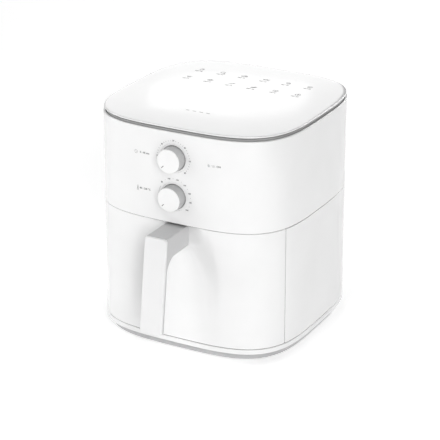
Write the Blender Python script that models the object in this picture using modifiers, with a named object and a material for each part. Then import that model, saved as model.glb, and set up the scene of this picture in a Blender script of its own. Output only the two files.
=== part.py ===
"""Basket air fryer with two dials: a rounded-square body, a pull-out drawer with a pan and
crisper tray, and the heater, fan motor, timer and thermostat that sit above the pan.

Frame: origin at the centre of the footprint on the table top, +Z up, the drawer faces -Y.
All sizes are in metres.
"""

import math

import bmesh
import bpy
from mathutils import Matrix, Vector

# ---------------------------------------------------------------- driving dimensions
BODY_WIDTH = 0.272  # at the top of the housing
BODY_DEPTH = 0.272
FLARE = 0.0013  # how much further out each wall stands at the table than at the top
ROUNDNESS = 3.6  # exponent of the rounded-square plan: 2 is an ellipse
WALL = 0.0025
TOUCH = 0.0003  # gap between pieces that rest on or in each other
SEAM = 0.0008  # shadow gap between outer shells

FOOT_DROP = 0.002
PLINTH_HEIGHT = 0.0090
BAND_HEIGHT = 0.0067
DRAWER_HEIGHT = 0.1551
UPPER_HEIGHT = 0.1182
GROOVE_HEIGHT = 0.0044
LID_RIM = 0.0018
LID_RISE = 0.0020
LID_INSET = 0.0008
PLINTH_INSET_TOP = 0.0035
PLINTH_INSET_FOOT = 0.0065
TRIM_INSET = 0.0030

DRAWER_WRAP = 0.0505  # how far the drawer front reaches back round each corner
SCOOP_DEPTH = 0.0125
SCOOP_HALF_WIDTH = 0.067
SCOOP_SHOULDER = 0.023  # how much of that half-width is lost at the drawer's upper edge
SCOOP_SHOULDER_POWER = 8  # the higher, the nearer to that edge the loss starts
SCOOP_EASE = 0.75  # below 1, the scoop deepens early and its arch is blunt
SCOOP_FLAT = 0.046  # half the width of its level floor, at its foot
SCOOP_ARCH = 0.80  # share of its height at which the level floor ends in an arch
SCOOP_FOOT = 0.014  # height above the drawer's lower edge where the scoop starts

GRIP_WIDTH = 0.0305
GRIP_LENGTH = 0.1235
GRIP_LEAN = math.radians(7.7)
GRIP_REACH = 0.04516  # from the body's front to the top of the grip's face
GRIP_TOP_DROP = 0.0028
GRIP_COVER = 0.0035
GRIP_CORE = 0.0055
NECK_HEIGHT = 0.0280
NECK_FILLET = 0.020

KNOB_RADIUS = 0.0157
KNOB_PITCH = 0.050
KNOB_PROUD = 0.0135
KNOB_SUNK = 0.0033
KNOB_GAP = 0.0013
KNOB_PAIR_RISE = 0.0009  # the pair's middle, above the middle of the front panel
BEZEL_WALL = 0.0014
SHAFT_RADIUS = 0.003
LENS_RADIUS = 0.0017
LENS_X = 0.0485
LENS_DROP = 0.0012  # below the upper knob's axis

INSULATION_SIDE = 0.0155
INSULATION_BACK = 0.0345
SHEET = 0.0012  # steel sheet of the chamber
CHAMBER_LIFT = 0.004
PAN_SIDE_GAP = 0.0025
PAN_WALL = 0.0015
PAN_ROUNDNESS = 5.0
PAN_DRAFT = 0.004
PAN_RIM = 0.003
PAN_DROP = 0.014  # pan rim below the drawer's upper edge
RAIL_HEIGHT = 0.004
LINER_SETBACK = 0.0242  # liner plate behind the drawer front's face
TRAY_RISE = 0.0140
TRAY_GAP = 0.003
CONTROL_SPACE = 0.036  # kept free between the front wall and the heater dome
DOME_HEIGHT = 0.038
MOTOR_RADIUS = 0.030
MOTOR_HEIGHT = 0.030
BEARING_RADIUS = 0.008
AXLE_RADIUS = 0.004
HOT_FAN_RADIUS = 0.054
COOLING_FAN_RADIUS = 0.036
COIL_RADIUS = 0.0033
VENT_WIDTH = 0.084
VENT_HEIGHT = 0.028
FOOT_RADIUS = 0.009
FOOT_INSET = 0.038  # from the walls to a foot's centre
GLAND_RADIUS = 0.0075
GLAND_X = 0.060
GLAND_RISE = 0.026  # above the lower edge of the housing
GLAND_TAIL = 0.0110
GLAND_FLANGE = 0.002
PLUNGER_RADIUS = 0.0025
PLUNGER_TRAVEL = 0.0025
SWITCH_DEPTH = 0.016

OUTER_POINTS = 64
INNER_POINTS = 40
ROUND = 24

# ---------------------------------------------------------------- levels and places
HALF_W = BODY_WIDTH / 2
HALF_D = BODY_DEPTH / 2
PLINTH_TOP = FOOT_DROP + PLINTH_HEIGHT
BAND_BOTTOM = PLINTH_TOP + TOUCH
BAND_TOP = BAND_BOTTOM + BAND_HEIGHT
LOWER_BOTTOM = BAND_TOP + SEAM
LOWER_TOP = LOWER_BOTTOM + DRAWER_HEIGHT
UPPER_BOTTOM = LOWER_TOP + SEAM
UPPER_TOP = UPPER_BOTTOM + UPPER_HEIGHT
LID_BOTTOM = UPPER_TOP + GROOVE_HEIGHT
SPLIT_Y = -HALF_D + DRAWER_WRAP

CHAMBER_HALF_W = HALF_W - WALL - INSULATION_SIDE  # outside of the chamber's sheet
CHAMBER_BACK = HALF_D - WALL - INSULATION_BACK
CHAMBER_BOTTOM = LOWER_BOTTOM + CHAMBER_LIFT
CHAMBER_TOP = LOWER_TOP - 2 * SHEET
PAN_HALF_W = CHAMBER_HALF_W - SHEET - PAN_SIDE_GAP
LINER_Y = -HALF_D + LINER_SETBACK
PAN_FRONT = LINER_Y + WALL + TOUCH
PAN_BACK = CHAMBER_BACK - SHEET - PAN_SIDE_GAP
PAN_HALF_D = (PAN_BACK - PAN_FRONT) / 2
PAN_Y = (PAN_BACK + PAN_FRONT) / 2
PAN_TOP = LOWER_TOP - PAN_DROP
RAIL_BOTTOM = CHAMBER_BOTTOM + SHEET + TOUCH
PAN_BOTTOM = RAIL_BOTTOM + RAIL_HEIGHT + TOUCH
TRAY_TOP = PAN_BOTTOM + PAN_WALL + TOUCH + TRAY_RISE

PANEL_MIDDLE = (UPPER_BOTTOM + UPPER_TOP) / 2 + KNOB_PAIR_RISE
TIMER_Z = PANEL_MIDDLE + KNOB_PITCH / 2
TEMP_Z = PANEL_MIDDLE - KNOB_PITCH / 2
BEZEL_RADIUS = KNOB_RADIUS + KNOB_GAP + BEZEL_WALL
BEZEL_DEPTH = KNOB_SUNK + 2 * TOUCH + BEZEL_WALL
BRACKET_Y = -HALF_D + WALL + BEZEL_DEPTH

DOME_RADIUS = min(HALF_W, HALF_D) - CONTROL_SPACE
DOME_BOTTOM = CHAMBER_TOP + SHEET + 2 * TOUCH
DOME_TOP = DOME_BOTTOM + DOME_HEIGHT
DECK_BOTTOM = DOME_TOP + 0.003
MOTOR_BOTTOM = DECK_BOTTOM + 0.002 + TOUCH
MOTOR_TOP = MOTOR_BOTTOM + MOTOR_HEIGHT
COOLING_FAN_Z = MOTOR_TOP + 0.003
GUARD_Z = CHAMBER_TOP - 0.0025
COIL_Z = GUARD_Z + 0.0095
HOT_FAN_Z = COIL_Z - 0.002
VENT_Z = DOME_BOTTOM + DOME_HEIGHT / 2
GLAND_Z = LOWER_BOTTOM + GLAND_RISE
SWITCH_Z = (PAN_BOTTOM + PAN_TOP) / 2


# ---------------------------------------------------------------- tools
def clear_scene():
    for old in list(bpy.data.objects):
        bpy.data.objects.remove(old)


def new_collection(name):
    made = bpy.data.collections.new(name)
    bpy.context.scene.collection.children.link(made)
    return made


def material(name, colour, roughness, metallic=0.0):
    made = bpy.data.materials.new(name)
    made.use_nodes = True
    shader = made.node_tree.nodes["Principled BSDF"]
    shader.inputs["Base Color"].default_value = (*colour, 1.0)
    shader.inputs["Roughness"].default_value = roughness
    shader.inputs["Metallic"].default_value = metallic
    return made


def place(name, data, finish, parent=None):
    """Links a new object for this data, with its finish, in the part's collection."""
    obj = bpy.data.objects.new(name, data)
    PARTS.objects.link(obj)
    if finish is not None:
        data.materials.append(finish)
    obj.parent = parent
    return obj


def from_bmesh(name, bm, finish):
    mesh = bpy.data.meshes.new(name)
    bm.to_mesh(mesh)
    bm.free()
    mesh.shade_smooth()
    mesh.set_sharp_from_angle(angle=math.radians(32))
    return place(name, mesh, finish)


def box(name, finish, low, high):
    """An upright box between two corners."""
    low, high = Vector(low), Vector(high)
    bm = bmesh.new()
    bmesh.ops.create_cube(bm, size=1.0)
    bmesh.ops.scale(bm, vec=high - low, verts=bm.verts)
    obj = from_bmesh(name, bm, finish)
    obj.location = (low + high) / 2
    return obj


def rod(name, finish, radius, start, end, segments=ROUND):
    """A cylinder between two points on one axis."""
    start, end = Vector(start), Vector(end)
    along = end - start
    bm = bmesh.new()
    bmesh.ops.create_cone(
        bm, cap_ends=True, segments=segments, radius1=radius, radius2=radius, depth=along.length
    )
    obj = from_bmesh(name, bm, finish)
    obj.rotation_euler = along.to_track_quat("Z", "Y").to_euler()
    obj.location = (start + end) / 2
    return obj


def turned(name, finish, profile, origin=(0, 0, 0), facing_front=False, closed=False, segments=ROUND):
    """A profile of (radius, height) spun about Z, or about -Y when it faces the front."""
    mesh = bpy.data.meshes.new(name)
    ends = len(profile) if closed else len(profile) - 1
    edges = [(i, (i + 1) % len(profile)) for i in range(ends)]
    mesh.from_pydata([(r, 0, h) for r, h in profile], edges, [])
    obj = place(name, mesh, finish)
    spin = obj.modifiers.new("spin", "SCREW")
    spin.steps = spin.render_steps = segments
    spin.use_merge_vertices = True
    spin.merge_threshold = 0.00001
    obj.location = origin
    if facing_front:
        obj.rotation_euler = (math.radians(90), 0, 0)
    return obj


PLANES = {
    "XY": Matrix.Identity(3),
    "XZ": Matrix(((1, 0, 0), (0, 0, -1), (0, 1, 0))),
    "YZ": Matrix(((0, 0, 1), (1, 0, 0), (0, 1, 0))),
}


def prism(name, finish, loops, thickness, middle, plane="XY"):
    """Flat outlines, the first one outside and the rest holes, extruded across their plane."""
    curve = bpy.data.curves.new(name, "CURVE")
    curve.dimensions = "2D"
    curve.fill_mode = "BOTH"
    curve.extrude = thickness / 2
    for loop in loops:
        spline = curve.splines.new("POLY")
        spline.points.add(len(loop) - 1)
        for point, (x, y) in zip(spline.points, loop):
            point.co = (x, y, 0, 1)
        spline.use_cyclic_u = True
    obj = place(name, curve, None)
    obj.matrix_world = Matrix.Translation(middle) @ PLANES[plane].to_4x4()
    return as_mesh(obj, finish)


def as_mesh(obj, finish):
    """The evaluated curve as a welded mesh object with the same name and place."""
    bpy.context.view_layer.update()
    graph = bpy.context.evaluated_depsgraph_get()
    mesh = bpy.data.meshes.new_from_object(obj.evaluated_get(graph))
    name, matrix = obj.name, obj.matrix_world.copy()
    bpy.data.objects.remove(obj)
    bm = bmesh.new()
    bm.from_mesh(mesh)
    bmesh.ops.remove_doubles(bm, verts=bm.verts, dist=0.00001)
    bmesh.ops.recalc_face_normals(bm, faces=bm.faces)
    bpy.data.meshes.remove(mesh)
    made = from_bmesh(name, bm, finish)
    made.matrix_world = matrix
    return made


def wire(name, finish, points, radius):
    """A round bar along a smooth list of points."""
    curve = bpy.data.curves.new(name, "CURVE")
    curve.dimensions = "3D"
    curve.bevel_depth = radius
    curve.bevel_resolution = 2
    curve.use_fill_caps = True
    spline = curve.splines.new("POLY")
    spline.points.add(len(points) - 1)
    for point, co in zip(spline.points, points):
        point.co = (*co, 1)
    return place(name, curve, finish)


def loft(name, finish, rings, cap_first=False, cap_last=False, wall=0.0):
    """A skin through rings of points that run anticlockwise from the lowest ring up."""
    bm = bmesh.new()
    made = [[bm.verts.new(point) for point in ring] for ring in rings]
    for low, high in zip(made, made[1:]):
        for i in range(len(low)):
            j = (i + 1) % len(low)
            bm.faces.new((low[i], low[j], high[j], high[i]))
    if cap_first:
        bm.faces.new(list(reversed(made[0])))
    if cap_last:
        bm.faces.new(made[-1])
    obj = from_bmesh(name, bm, finish)
    if wall:
        thicken(obj, wall)
    return obj


def thicken(obj, wall):
    """Gives an open skin its wall, on the side that its faces turn away from."""
    skin = obj.modifiers.new("wall", "SOLIDIFY")
    skin.thickness = wall
    skin.offset = -1
    skin.use_even_offset = True


def combine(target, others, operation):
    for other in others:
        PARTS.objects.unlink(other)
        HELPERS.objects.link(other)
        other.hide_render = True
        other.display_type = "WIRE"
        step = target.modifiers.new(operation.lower(), "BOOLEAN")
        step.operation = operation
        step.object = other


def cut(target, *cutters):
    combine(target, cutters, "DIFFERENCE")


def unite(target, *others):
    combine(target, others, "UNION")


def axis_empty(name, location):
    """The line or point that a moving group turns about or slides from."""
    empty = bpy.data.objects.new(name, None)
    PARTS.objects.link(empty)
    empty.location = location
    return empty


def hang_on(empty, *objects):
    bpy.context.view_layer.update()
    for obj in objects:
        world = obj.matrix_world.copy()
        obj.parent = empty
        obj.matrix_parent_inverse = empty.matrix_world.inverted()
        obj.matrix_world = world


# ---------------------------------------------------------------- plan outlines
def plan_point(angle, half_x, half_y, roundness=ROUNDNESS):
    """The point of a rounded square in this direction from its centre."""
    across = abs(math.cos(angle) / half_x) ** roundness
    along = abs(math.sin(angle) / half_y) ** roundness
    reach = (across + along) ** (-1 / roundness)
    return reach * math.cos(angle), reach * math.sin(angle)


def plan(half_x, half_y, count=OUTER_POINTS, centre_y=0.0, roundness=ROUNDNESS):
    made = []
    for i in range(count):
        x, y = plan_point(2 * math.pi * i / count, half_x, half_y, roundness)
        made.append((x, y + centre_y))
    return made


def spread(z):
    """How much further out the walls stand at this height than at the top of the housing."""
    return FLARE * (1 - z / UPPER_TOP)


def plan_ring(inset, z, count=OUTER_POINTS):
    grow = spread(z) - inset
    return [(x, y, z) for x, y in plan(HALF_W + grow, HALF_D + grow, count)]


def front_y(z):
    """The front wall's outer face at this height, on the middle plane."""
    return -HALF_D - spread(z)


def circle(radius, count=ROUND, centre=(0, 0)):
    turn = 2 * math.pi / count
    return [
        (centre[0] + radius * math.cos(i * turn), centre[1] + radius * math.sin(i * turn))
        for i in range(count)
    ]


def split_angle(gap):
    """Direction of the plan's right-hand point where the drawer front meets the side."""
    y = SPLIT_Y + gap
    x = HALF_W * (1 - abs(y / HALF_D) ** ROUNDNESS) ** (1 / ROUNDNESS)
    return math.atan2(y, x)


def scoop(x, z):
    """Depth of the bell-shaped hollow behind the handle, deepest at the drawer's upper edge."""
    foot = LOWER_BOTTOM + SCOOP_FOOT
    rise = min(1.0, max(0.0, (z - foot) / (LOWER_TOP - foot)))
    half_width = SCOOP_HALF_WIDTH - SCOOP_SHOULDER * rise ** SCOOP_SHOULDER_POWER
    flat = SCOOP_FLAT * max(0.0, 1 - (rise / SCOOP_ARCH) ** 2) ** SCOOP_EASE
    bank = min(1.0, max(0.0, (abs(x) - flat) / (half_width - flat)))
    lift = rise ** SCOOP_EASE
    return SCOOP_DEPTH * (1 - bank * bank * (3 - 2 * bank)) * lift * lift * (3 - 2 * lift)


def curtain(name, finish, start, end, columns, rows, hollow):
    """A vertical skin along the body's plan between two directions, from seam to seam."""
    bm = bmesh.new()
    bmesh.ops.create_grid(bm, x_segments=columns, y_segments=rows, size=0.5)
    for vert in bm.verts:
        z = LOWER_BOTTOM + (vert.co.y + 0.5) * DRAWER_HEIGHT
        angle = start + (vert.co.x + 0.5) * (end - start)
        x, y = plan_point(angle, HALF_W + spread(z), HALF_D + spread(z))
        vert.co = (x, y + (scoop(x, z) if hollow else 0.0), z)
    obj = from_bmesh(name, bm, finish)
    thicken(obj, WALL)
    return obj


def plan_y(x):
    """How far back the body's rear face is at this distance from the middle."""
    return HALF_D * (1 - abs(x / HALF_W) ** ROUNDNESS) ** (1 / ROUNDNESS)


def gland_y():
    return plan_y(GLAND_X + GLAND_RADIUS) + GLAND_FLANGE


# ---------------------------------------------------------------- outer shells
def top_cover():
    """Glossy lid plate: a thin rim that rounds over into a barely domed top."""
    rings = [
        plan_ring(LID_INSET + 0.0004, LID_BOTTOM),
        plan_ring(LID_INSET, LID_BOTTOM + 0.55 * LID_RIM),
        plan_ring(LID_INSET + 0.0012, LID_BOTTOM + LID_RIM),
        plan_ring(LID_INSET + 0.010, LID_BOTTOM + LID_RIM + 0.35 * LID_RISE),
        plan_ring(LID_INSET + 0.040, LID_BOTTOM + LID_RIM + 0.85 * LID_RISE),
        plan_ring(LID_INSET + 0.080, LID_BOTTOM + LID_RIM + LID_RISE),
    ]
    return loft("top_cover", WHITE_GLOSS, rings, cap_last=True, wall=0.0015)


def shell_ring(name, finish, inset, bottom, top):
    return loft(name, finish, [plan_ring(inset, bottom), plan_ring(inset, top)], wall=WALL)


def upper_housing():
    """Upper shell, with openings for both dials, the lamp lens and the rear vent."""
    shell = shell_ring("upper_housing", WHITE_SATIN, 0, UPPER_BOTTOM, UPPER_TOP)
    front, behind = -HALF_D - 0.01, -HALF_D + 0.012
    cutters = [
        rod("timer_hole", None, BEZEL_RADIUS + TOUCH, (0, front, TIMER_Z), (0, behind, TIMER_Z)),
        rod("temp_hole", None, BEZEL_RADIUS + TOUCH, (0, front, TEMP_Z), (0, behind, TEMP_Z)),
        rod(
            "lens_hole",
            None,
            LENS_RADIUS + TOUCH,
            (LENS_X, front, TIMER_Z - LENS_DROP),
            (LENS_X, behind, TIMER_Z - LENS_DROP),
            segments=12,
        ),
        box(
            "vent_window",
            None,
            (-VENT_WIDTH / 2, HALF_D - 0.012, VENT_Z - VENT_HEIGHT / 2),
            (VENT_WIDTH / 2, HALF_D + 0.01, VENT_Z + VENT_HEIGHT / 2),
        ),
    ]
    cut(shell, *cutters)
    return shell


def lower_housing():
    """Side and back wall of the drawer bay, open at the front, with the cord's hole."""
    start = split_angle(SEAM)
    shell = curtain("lower_housing", WHITE_SATIN, start, math.pi - start, 48, 1, hollow=False)
    hole = rod(
        "cord_hole",
        None,
        GLAND_RADIUS + TOUCH,
        (GLAND_X, HALF_D - 0.02, GLAND_Z),
        (GLAND_X, HALF_D + 0.02, GLAND_Z),
        segments=16,
    )
    cut(shell, hole)
    return shell


def cord_gland():
    """Moulded bush that the mains lead passes through, set in the rear wall."""
    profile = [
        (0.0040, GLAND_TAIL),
        (GLAND_RADIUS - 0.0015, GLAND_TAIL),
        (GLAND_RADIUS - 0.0005, 0.0008),
        (GLAND_RADIUS, 0.0),
        (GLAND_RADIUS, -0.0065),
        (0.0040, -0.0065),
    ]
    bush = turned("cord_gland", GREY_RUBBER, profile, closed=True, segments=16)
    bush.rotation_euler = (math.radians(-90), 0, 0)
    bush.location = (GLAND_X, gland_y(), GLAND_Z)


def rear_vent_grille():
    """Slotted plate in the rear window, where the hot air leaves."""
    inset = VENT_WIDTH / 2 - TOUCH, VENT_HEIGHT / 2 - TOUCH
    outline = [(-inset[0], -inset[1]), (inset[0], -inset[1]), inset, (-inset[0], inset[1])]
    slots, slot_count = [], 4
    pitch = 2 * inset[1] / (slot_count + 0.5)
    for i in range(slot_count):
        y = (i - (slot_count - 1) / 2) * pitch
        half_x, half_y = inset[0] - 0.005, pitch * 0.26
        slot = [(-half_x, y - half_y), (half_x, y - half_y), (half_x, y + half_y), (-half_x, y + half_y)]
        slots.append(slot)
    middle_y = plan_y(VENT_WIDTH / 2) - 0.001
    return prism(
        "rear_vent_grille", WHITE_SATIN, [outline, *slots], 0.002, (0, middle_y, VENT_Z), "XZ"
    )


def base_plate():
    """Grey plinth tray under the body, drawn in towards the table."""
    rings = [plan_ring(PLINTH_INSET_FOOT, FOOT_DROP), plan_ring(PLINTH_INSET_TOP, PLINTH_TOP)]
    return loft("base_plate", GREY_PLASTIC, rings, cap_first=True, wall=WALL)


def feet():
    """Four rubber feet under the plinth's corners."""
    x, y = HALF_W - FOOT_INSET, HALF_D - FOOT_INSET
    for name, sx, sy in (
        ("foot_front_left", -1, -1),
        ("foot_front_right", 1, -1),
        ("foot_rear_left", -1, 1),
        ("foot_rear_right", 1, 1),
    ):
        low, high = (sx * x, sy * y, 0), (sx * x, sy * y, FOOT_DROP - TOUCH)
        rod(name, GREY_RUBBER, FOOT_RADIUS, low, high, segments=16)


# ---------------------------------------------------------------- dials and controls
def dial(prefix, z):
    """Knob, its shaft and the sunk bezel cup that it turns in."""
    wall_y = front_y(z)
    face_y = wall_y - KNOB_PROUD
    rim = 0.0011
    boss = SHAFT_RADIUS + TOUCH
    length = KNOB_PROUD + KNOB_SUNK
    profile = [
        (0, 0),
        (KNOB_RADIUS - rim, 0),
        (KNOB_RADIUS - 0.3 * rim, -0.3 * rim),
        (KNOB_RADIUS, -rim),
        (KNOB_RADIUS, -length),
        (KNOB_RADIUS - 0.0020, -length),
        (KNOB_RADIUS - 0.0020, -0.0025),
        (boss + 0.0020, -0.0025),
        (boss + 0.0020, -length),
        (boss, -length),
        (boss, -0.0040),
        (0, -0.0040),
    ]
    knob = turned(prefix + "_knob", WHITE_SATIN, profile, (0, face_y, z), facing_front=True)
    groove = box(
        prefix + "_pointer_cut",
        None,
        (-0.0005, face_y - 0.001, z - KNOB_RADIUS + 0.0025),
        (0.0005, face_y + 0.0006, z - KNOB_RADIUS + 0.0070),
    )
    pivot = Matrix.Translation((0, 0, z))
    turn = Matrix.Rotation(math.radians(45), 4, "Y")
    bpy.context.view_layer.update()
    groove.matrix_world = pivot @ turn @ pivot.inverted() @ groove.matrix_world
    cut(knob, groove)

    bezel_profile = [
        (BEZEL_RADIUS, -TOUCH),
        (BEZEL_RADIUS, -BEZEL_DEPTH),
        (SHAFT_RADIUS + 2 * TOUCH, -BEZEL_DEPTH),
        (SHAFT_RADIUS + 2 * TOUCH, -BEZEL_DEPTH + BEZEL_WALL),
        (BEZEL_RADIUS - BEZEL_WALL, -BEZEL_DEPTH + BEZEL_WALL),
        (BEZEL_RADIUS - BEZEL_WALL, -TOUCH),
    ]
    turned(
        prefix + "_bezel", WHITE_SATIN, bezel_profile, (0, wall_y, z), facing_front=True, closed=True
    )

    back = BRACKET_Y + SHEET + TOUCH + 0.010
    shaft = rod(
        prefix + "_shaft", STEEL, SHAFT_RADIUS, (0, face_y + 0.0040 + TOUCH, z), (0, back, z), segments=16
    )
    hang_on(axis_empty(prefix + "_axis", (0, wall_y, z)), knob, shaft)


def control_bracket():
    """Sheet bracket behind the front panel that carries the timer and the thermostat."""
    half_x, half_z = 0.026, KNOB_PITCH / 2 + 0.020
    outline = [(-half_x, -half_z), (half_x, -half_z), (half_x, half_z), (-half_x, half_z)]
    holes = [circle(SHAFT_RADIUS + 2 * TOUCH, 16, (0, s * KNOB_PITCH / 2)) for s in (-1, 1)]
    middle = (0, BRACKET_Y + SHEET / 2, PANEL_MIDDLE)
    return prism("control_bracket", STEEL, [outline, *holes], SHEET, middle, "XZ")


def behind_bracket(name, finish, half_x, half_z, depth, z):
    """A boxed control fixed behind the bracket, with a blind hole for its dial's shaft."""
    front = BRACKET_Y + SHEET + TOUCH
    case = box(name, finish, (-half_x, front, z - half_z), (half_x, front + depth, z + half_z))
    hole = SHAFT_RADIUS + 2 * TOUCH
    cut(case, rod(name + "_hole", None, hole, (0, front - 0.004, z), (0, front + 0.012, z), 16))
    return front + depth


def controls():
    """Clockwork timer with its bell, thermostat with its probe, and the working lamp."""
    timer_back = behind_bracket("timer_case", STEEL, 0.022, 0.019, 0.034, TIMER_Z)
    bell_profile = [
        (0, 0.0080),
        (0.008, 0.0075),
        (0.0150, 0.0045),
        (0.0170, 0.0),
        (0.0160, 0.0),
        (0.0142, 0.0038),
        (0.0075, 0.0065),
        (0, 0.0068),
    ]
    bell_y = timer_back + TOUCH
    bell = turned("timer_bell", BRASS, bell_profile, (0, bell_y, TIMER_Z))
    bell.rotation_euler = (math.radians(-90), 0, 0)
    case_back = behind_bracket("thermostat_case", DARK_PLASTIC, 0.014, 0.014, 0.018, TEMP_Z)
    probe_y = case_back + 0.0015
    wire(
        "thermostat_probe",
        STEEL,
        [
            (0.006, probe_y, TEMP_Z + 0.012),
            (0.022, probe_y, TEMP_Z + 0.012),
            (0.032, probe_y - 0.002, TEMP_Z + 0.006),
            (0.038, probe_y - 0.004, TEMP_Z - 0.004),
            (0.040, probe_y - 0.004, TEMP_Z - 0.014),
        ],
        0.0010,
    )
    lens_z = TIMER_Z - LENS_DROP
    face = plan_y(LENS_X) + spread(lens_z)
    lens_profile = [
        (0, 0.0006),
        (0.6 * LENS_RADIUS, 0.0004),
        (LENS_RADIUS, -0.0002),
        (LENS_RADIUS, -0.0060),
        (0, -0.0060),
    ]
    turned(
        "indicator_lens", CLEAR, lens_profile, (LENS_X, -face, lens_z), facing_front=True, segments=12
    )
    lamp_y = -face + 0.0060 + TOUCH
    rod("indicator_lamp", AMBER, 0.0030, (LENS_X, lamp_y, lens_z), (LENS_X, lamp_y + 0.012, lens_z), 12)


def safety_switch():
    """Switch behind the chamber that the closed pan works, with its sprung plunger."""
    front = CHAMBER_BACK + TOUCH
    low, high = (-0.014, front, SWITCH_Z - 0.009), (0.014, front + SWITCH_DEPTH, SWITCH_Z + 0.009)
    case = box("switch_case", DARK_PLASTIC, low, high)
    tip = PAN_BACK + TOUCH
    back = front + 0.0075
    well_end = (0, back + PLUNGER_TRAVEL + 0.001, SWITCH_Z)
    cut(case, rod("switch_well", None, PLUNGER_RADIUS + TOUCH, (0, front - 0.003, SWITCH_Z), well_end, 12))
    ends = (0, tip, SWITCH_Z), (0, back, SWITCH_Z)
    plunger = rod("switch_plunger", GREY_PLASTIC, PLUNGER_RADIUS, *ends, segments=12)
    hang_on(axis_empty("plunger_axis", (0, tip, SWITCH_Z)), plunger)


def wiring_pieces():
    """Terminal block behind the cord's gland, and the thermal fuse clipped on the dome."""
    block_y = CHAMBER_BACK + 0.004
    box(
        "terminal_block",
        DARK_PLASTIC,
        (GLAND_X - 0.013, block_y, GLAND_Z + 0.020),
        (GLAND_X + 0.013, block_y + 0.014, GLAND_Z + 0.034),
    )
    fuse_x, fuse_z = 0.050, DOME_TOP + TOUCH
    box("thermal_fuse", DARK_PLASTIC, (fuse_x, -0.012, fuse_z), (fuse_x + 0.008, 0.012, fuse_z + 0.0025))


# ---------------------------------------------------------------- chamber and heater
def chamber_plan(front):
    """The chamber's plan: rounded at the back, with straight sides up to a square front."""
    half_d = (CHAMBER_BACK - PAN_FRONT) / 2 + SHEET + PAN_SIDE_GAP
    outline = plan(CHAMBER_HALF_W, half_d, INNER_POINTS, CHAMBER_BACK - half_d, PAN_ROUNDNESS)
    rear = outline[: INNER_POINTS // 2 + 1]
    return [*rear, (-CHAMBER_HALF_W, front), (CHAMBER_HALF_W, front)]


def cooking_chamber():
    """Steel tub round the pan, open at the top, with the drawer's mouth at the front."""
    outline = chamber_plan(SPLIT_Y - 0.01)
    rings = [[(x, y, z) for x, y in outline] for z in (CHAMBER_BOTTOM, CHAMBER_TOP)]
    tub = loft("cooking_chamber", STEEL, rings, cap_first=True, wall=SHEET)
    mouth = box(
        "chamber_mouth",
        None,
        (-HALF_W, -HALF_D, CHAMBER_BOTTOM - 0.01),
        (HALF_W, SPLIT_Y, CHAMBER_TOP + 0.01),
    )
    port = rod(
        "plunger_port",
        None,
        PLUNGER_RADIUS + 2 * TOUCH,
        (0, CHAMBER_BACK - 0.01, SWITCH_Z),
        (0, CHAMBER_BACK + 0.01, SWITCH_Z),
        segments=12,
    )
    cut(tub, mouth, port)


def chamber_top():
    """Sheet that closes the chamber round the heater dome."""
    hole = circle(DOME_RADIUS - 0.008, INNER_POINTS)
    z = CHAMBER_TOP + TOUCH + SHEET / 2
    prism("chamber_top", STEEL, [chamber_plan(SPLIT_Y + SHEET), hole], SHEET, (0, 0, z))


def slide_rails():
    """Two pressed rails on the chamber floor that the pan runs on."""
    for name, side in (("slide_rail_left", -1), ("slide_rail_right", 1)):
        x = side * (PAN_HALF_W - 0.040)
        box(
            name,
            STEEL,
            (x - 0.004, SPLIT_Y + 0.004, RAIL_BOTTOM),
            (x + 0.004, CHAMBER_BACK - 0.020, RAIL_BOTTOM + RAIL_HEIGHT),
        )


def heat_reflector():
    """Turned dome over the heater, with the shaft's hole and the rear air outlet."""
    r, h, t = DOME_RADIUS, DOME_HEIGHT, SHEET
    profile = [
        (0.007, h),
        (r - 0.022, h),
        (r - 0.010, h - 0.007),
        (r - 0.005, h - 0.018),
        (r - 0.005, t),
        (r, t),
        (r, 0),
        (r - 0.005 - t, 0),
        (r - 0.005 - t, h - 0.018),
        (r - 0.0108, h - 0.0080),
        (r - 0.0225, h - t),
        (0.007, h - t),
    ]
    dome = turned("heat_reflector", STEEL, profile, (0, 0, DOME_BOTTOM), closed=True, segments=32)
    outlet = box(
        "air_outlet",
        None,
        (-0.030, r - 0.025, VENT_Z - 0.008),
        (0.030, r + 0.010, VENT_Z + 0.008),
    )
    slot = box(
        "coil_slot", None, (-0.012, -r + 0.030, DOME_TOP - 0.004), (0.012, -r + 0.042, DOME_TOP + 0.004)
    )
    cut(dome, outlet, slot)


def exhaust_duct():
    """Rectangular duct from the dome's outlet to the rear grille."""
    half_x, half_z, wall = 0.036, 0.011, 0.0015
    start, end = DOME_RADIUS + TOUCH, plan_y(VENT_WIDTH / 2) - 0.002 - TOUCH
    outline = [(-half_x, -half_z), (half_x, -half_z), (half_x, half_z), (-half_x, half_z)]
    inner = [(x - math.copysign(wall, x), y - math.copysign(wall, y)) for x, y in outline]
    middle = (0, (start + end) / 2, VENT_Z)
    prism("exhaust_duct", DARK_PLASTIC, [outline, inner], end - start, middle, "XZ")


def heater_coil():
    """Tubular element: a flat spiral round the fan, with both ends turned up at the front."""
    inner, outer, turns = HOT_FAN_RADIUS + 0.010, DOME_RADIUS - 0.014, 2
    steps = 20 * turns
    top = DOME_TOP + 0.002
    start = math.radians(-90)
    spiral = []
    for i in range(steps + 1):
        share = i / steps
        angle = start + 2 * math.pi * turns * share
        radius = inner + (outer - inner) * share
        spiral.append((radius * math.cos(angle), radius * math.sin(angle), COIL_Z))
    lead_y = -DOME_RADIUS + 0.036
    riser = [
        (-0.006, lead_y, top),
        (-0.006, lead_y, COIL_Z + 0.012),
        (-0.005, -inner - 0.001, COIL_Z + 0.004),
    ]
    spiral = riser + spiral[1:-2]
    wire("heater_coil", HEATER, spiral, COIL_RADIUS)


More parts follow.
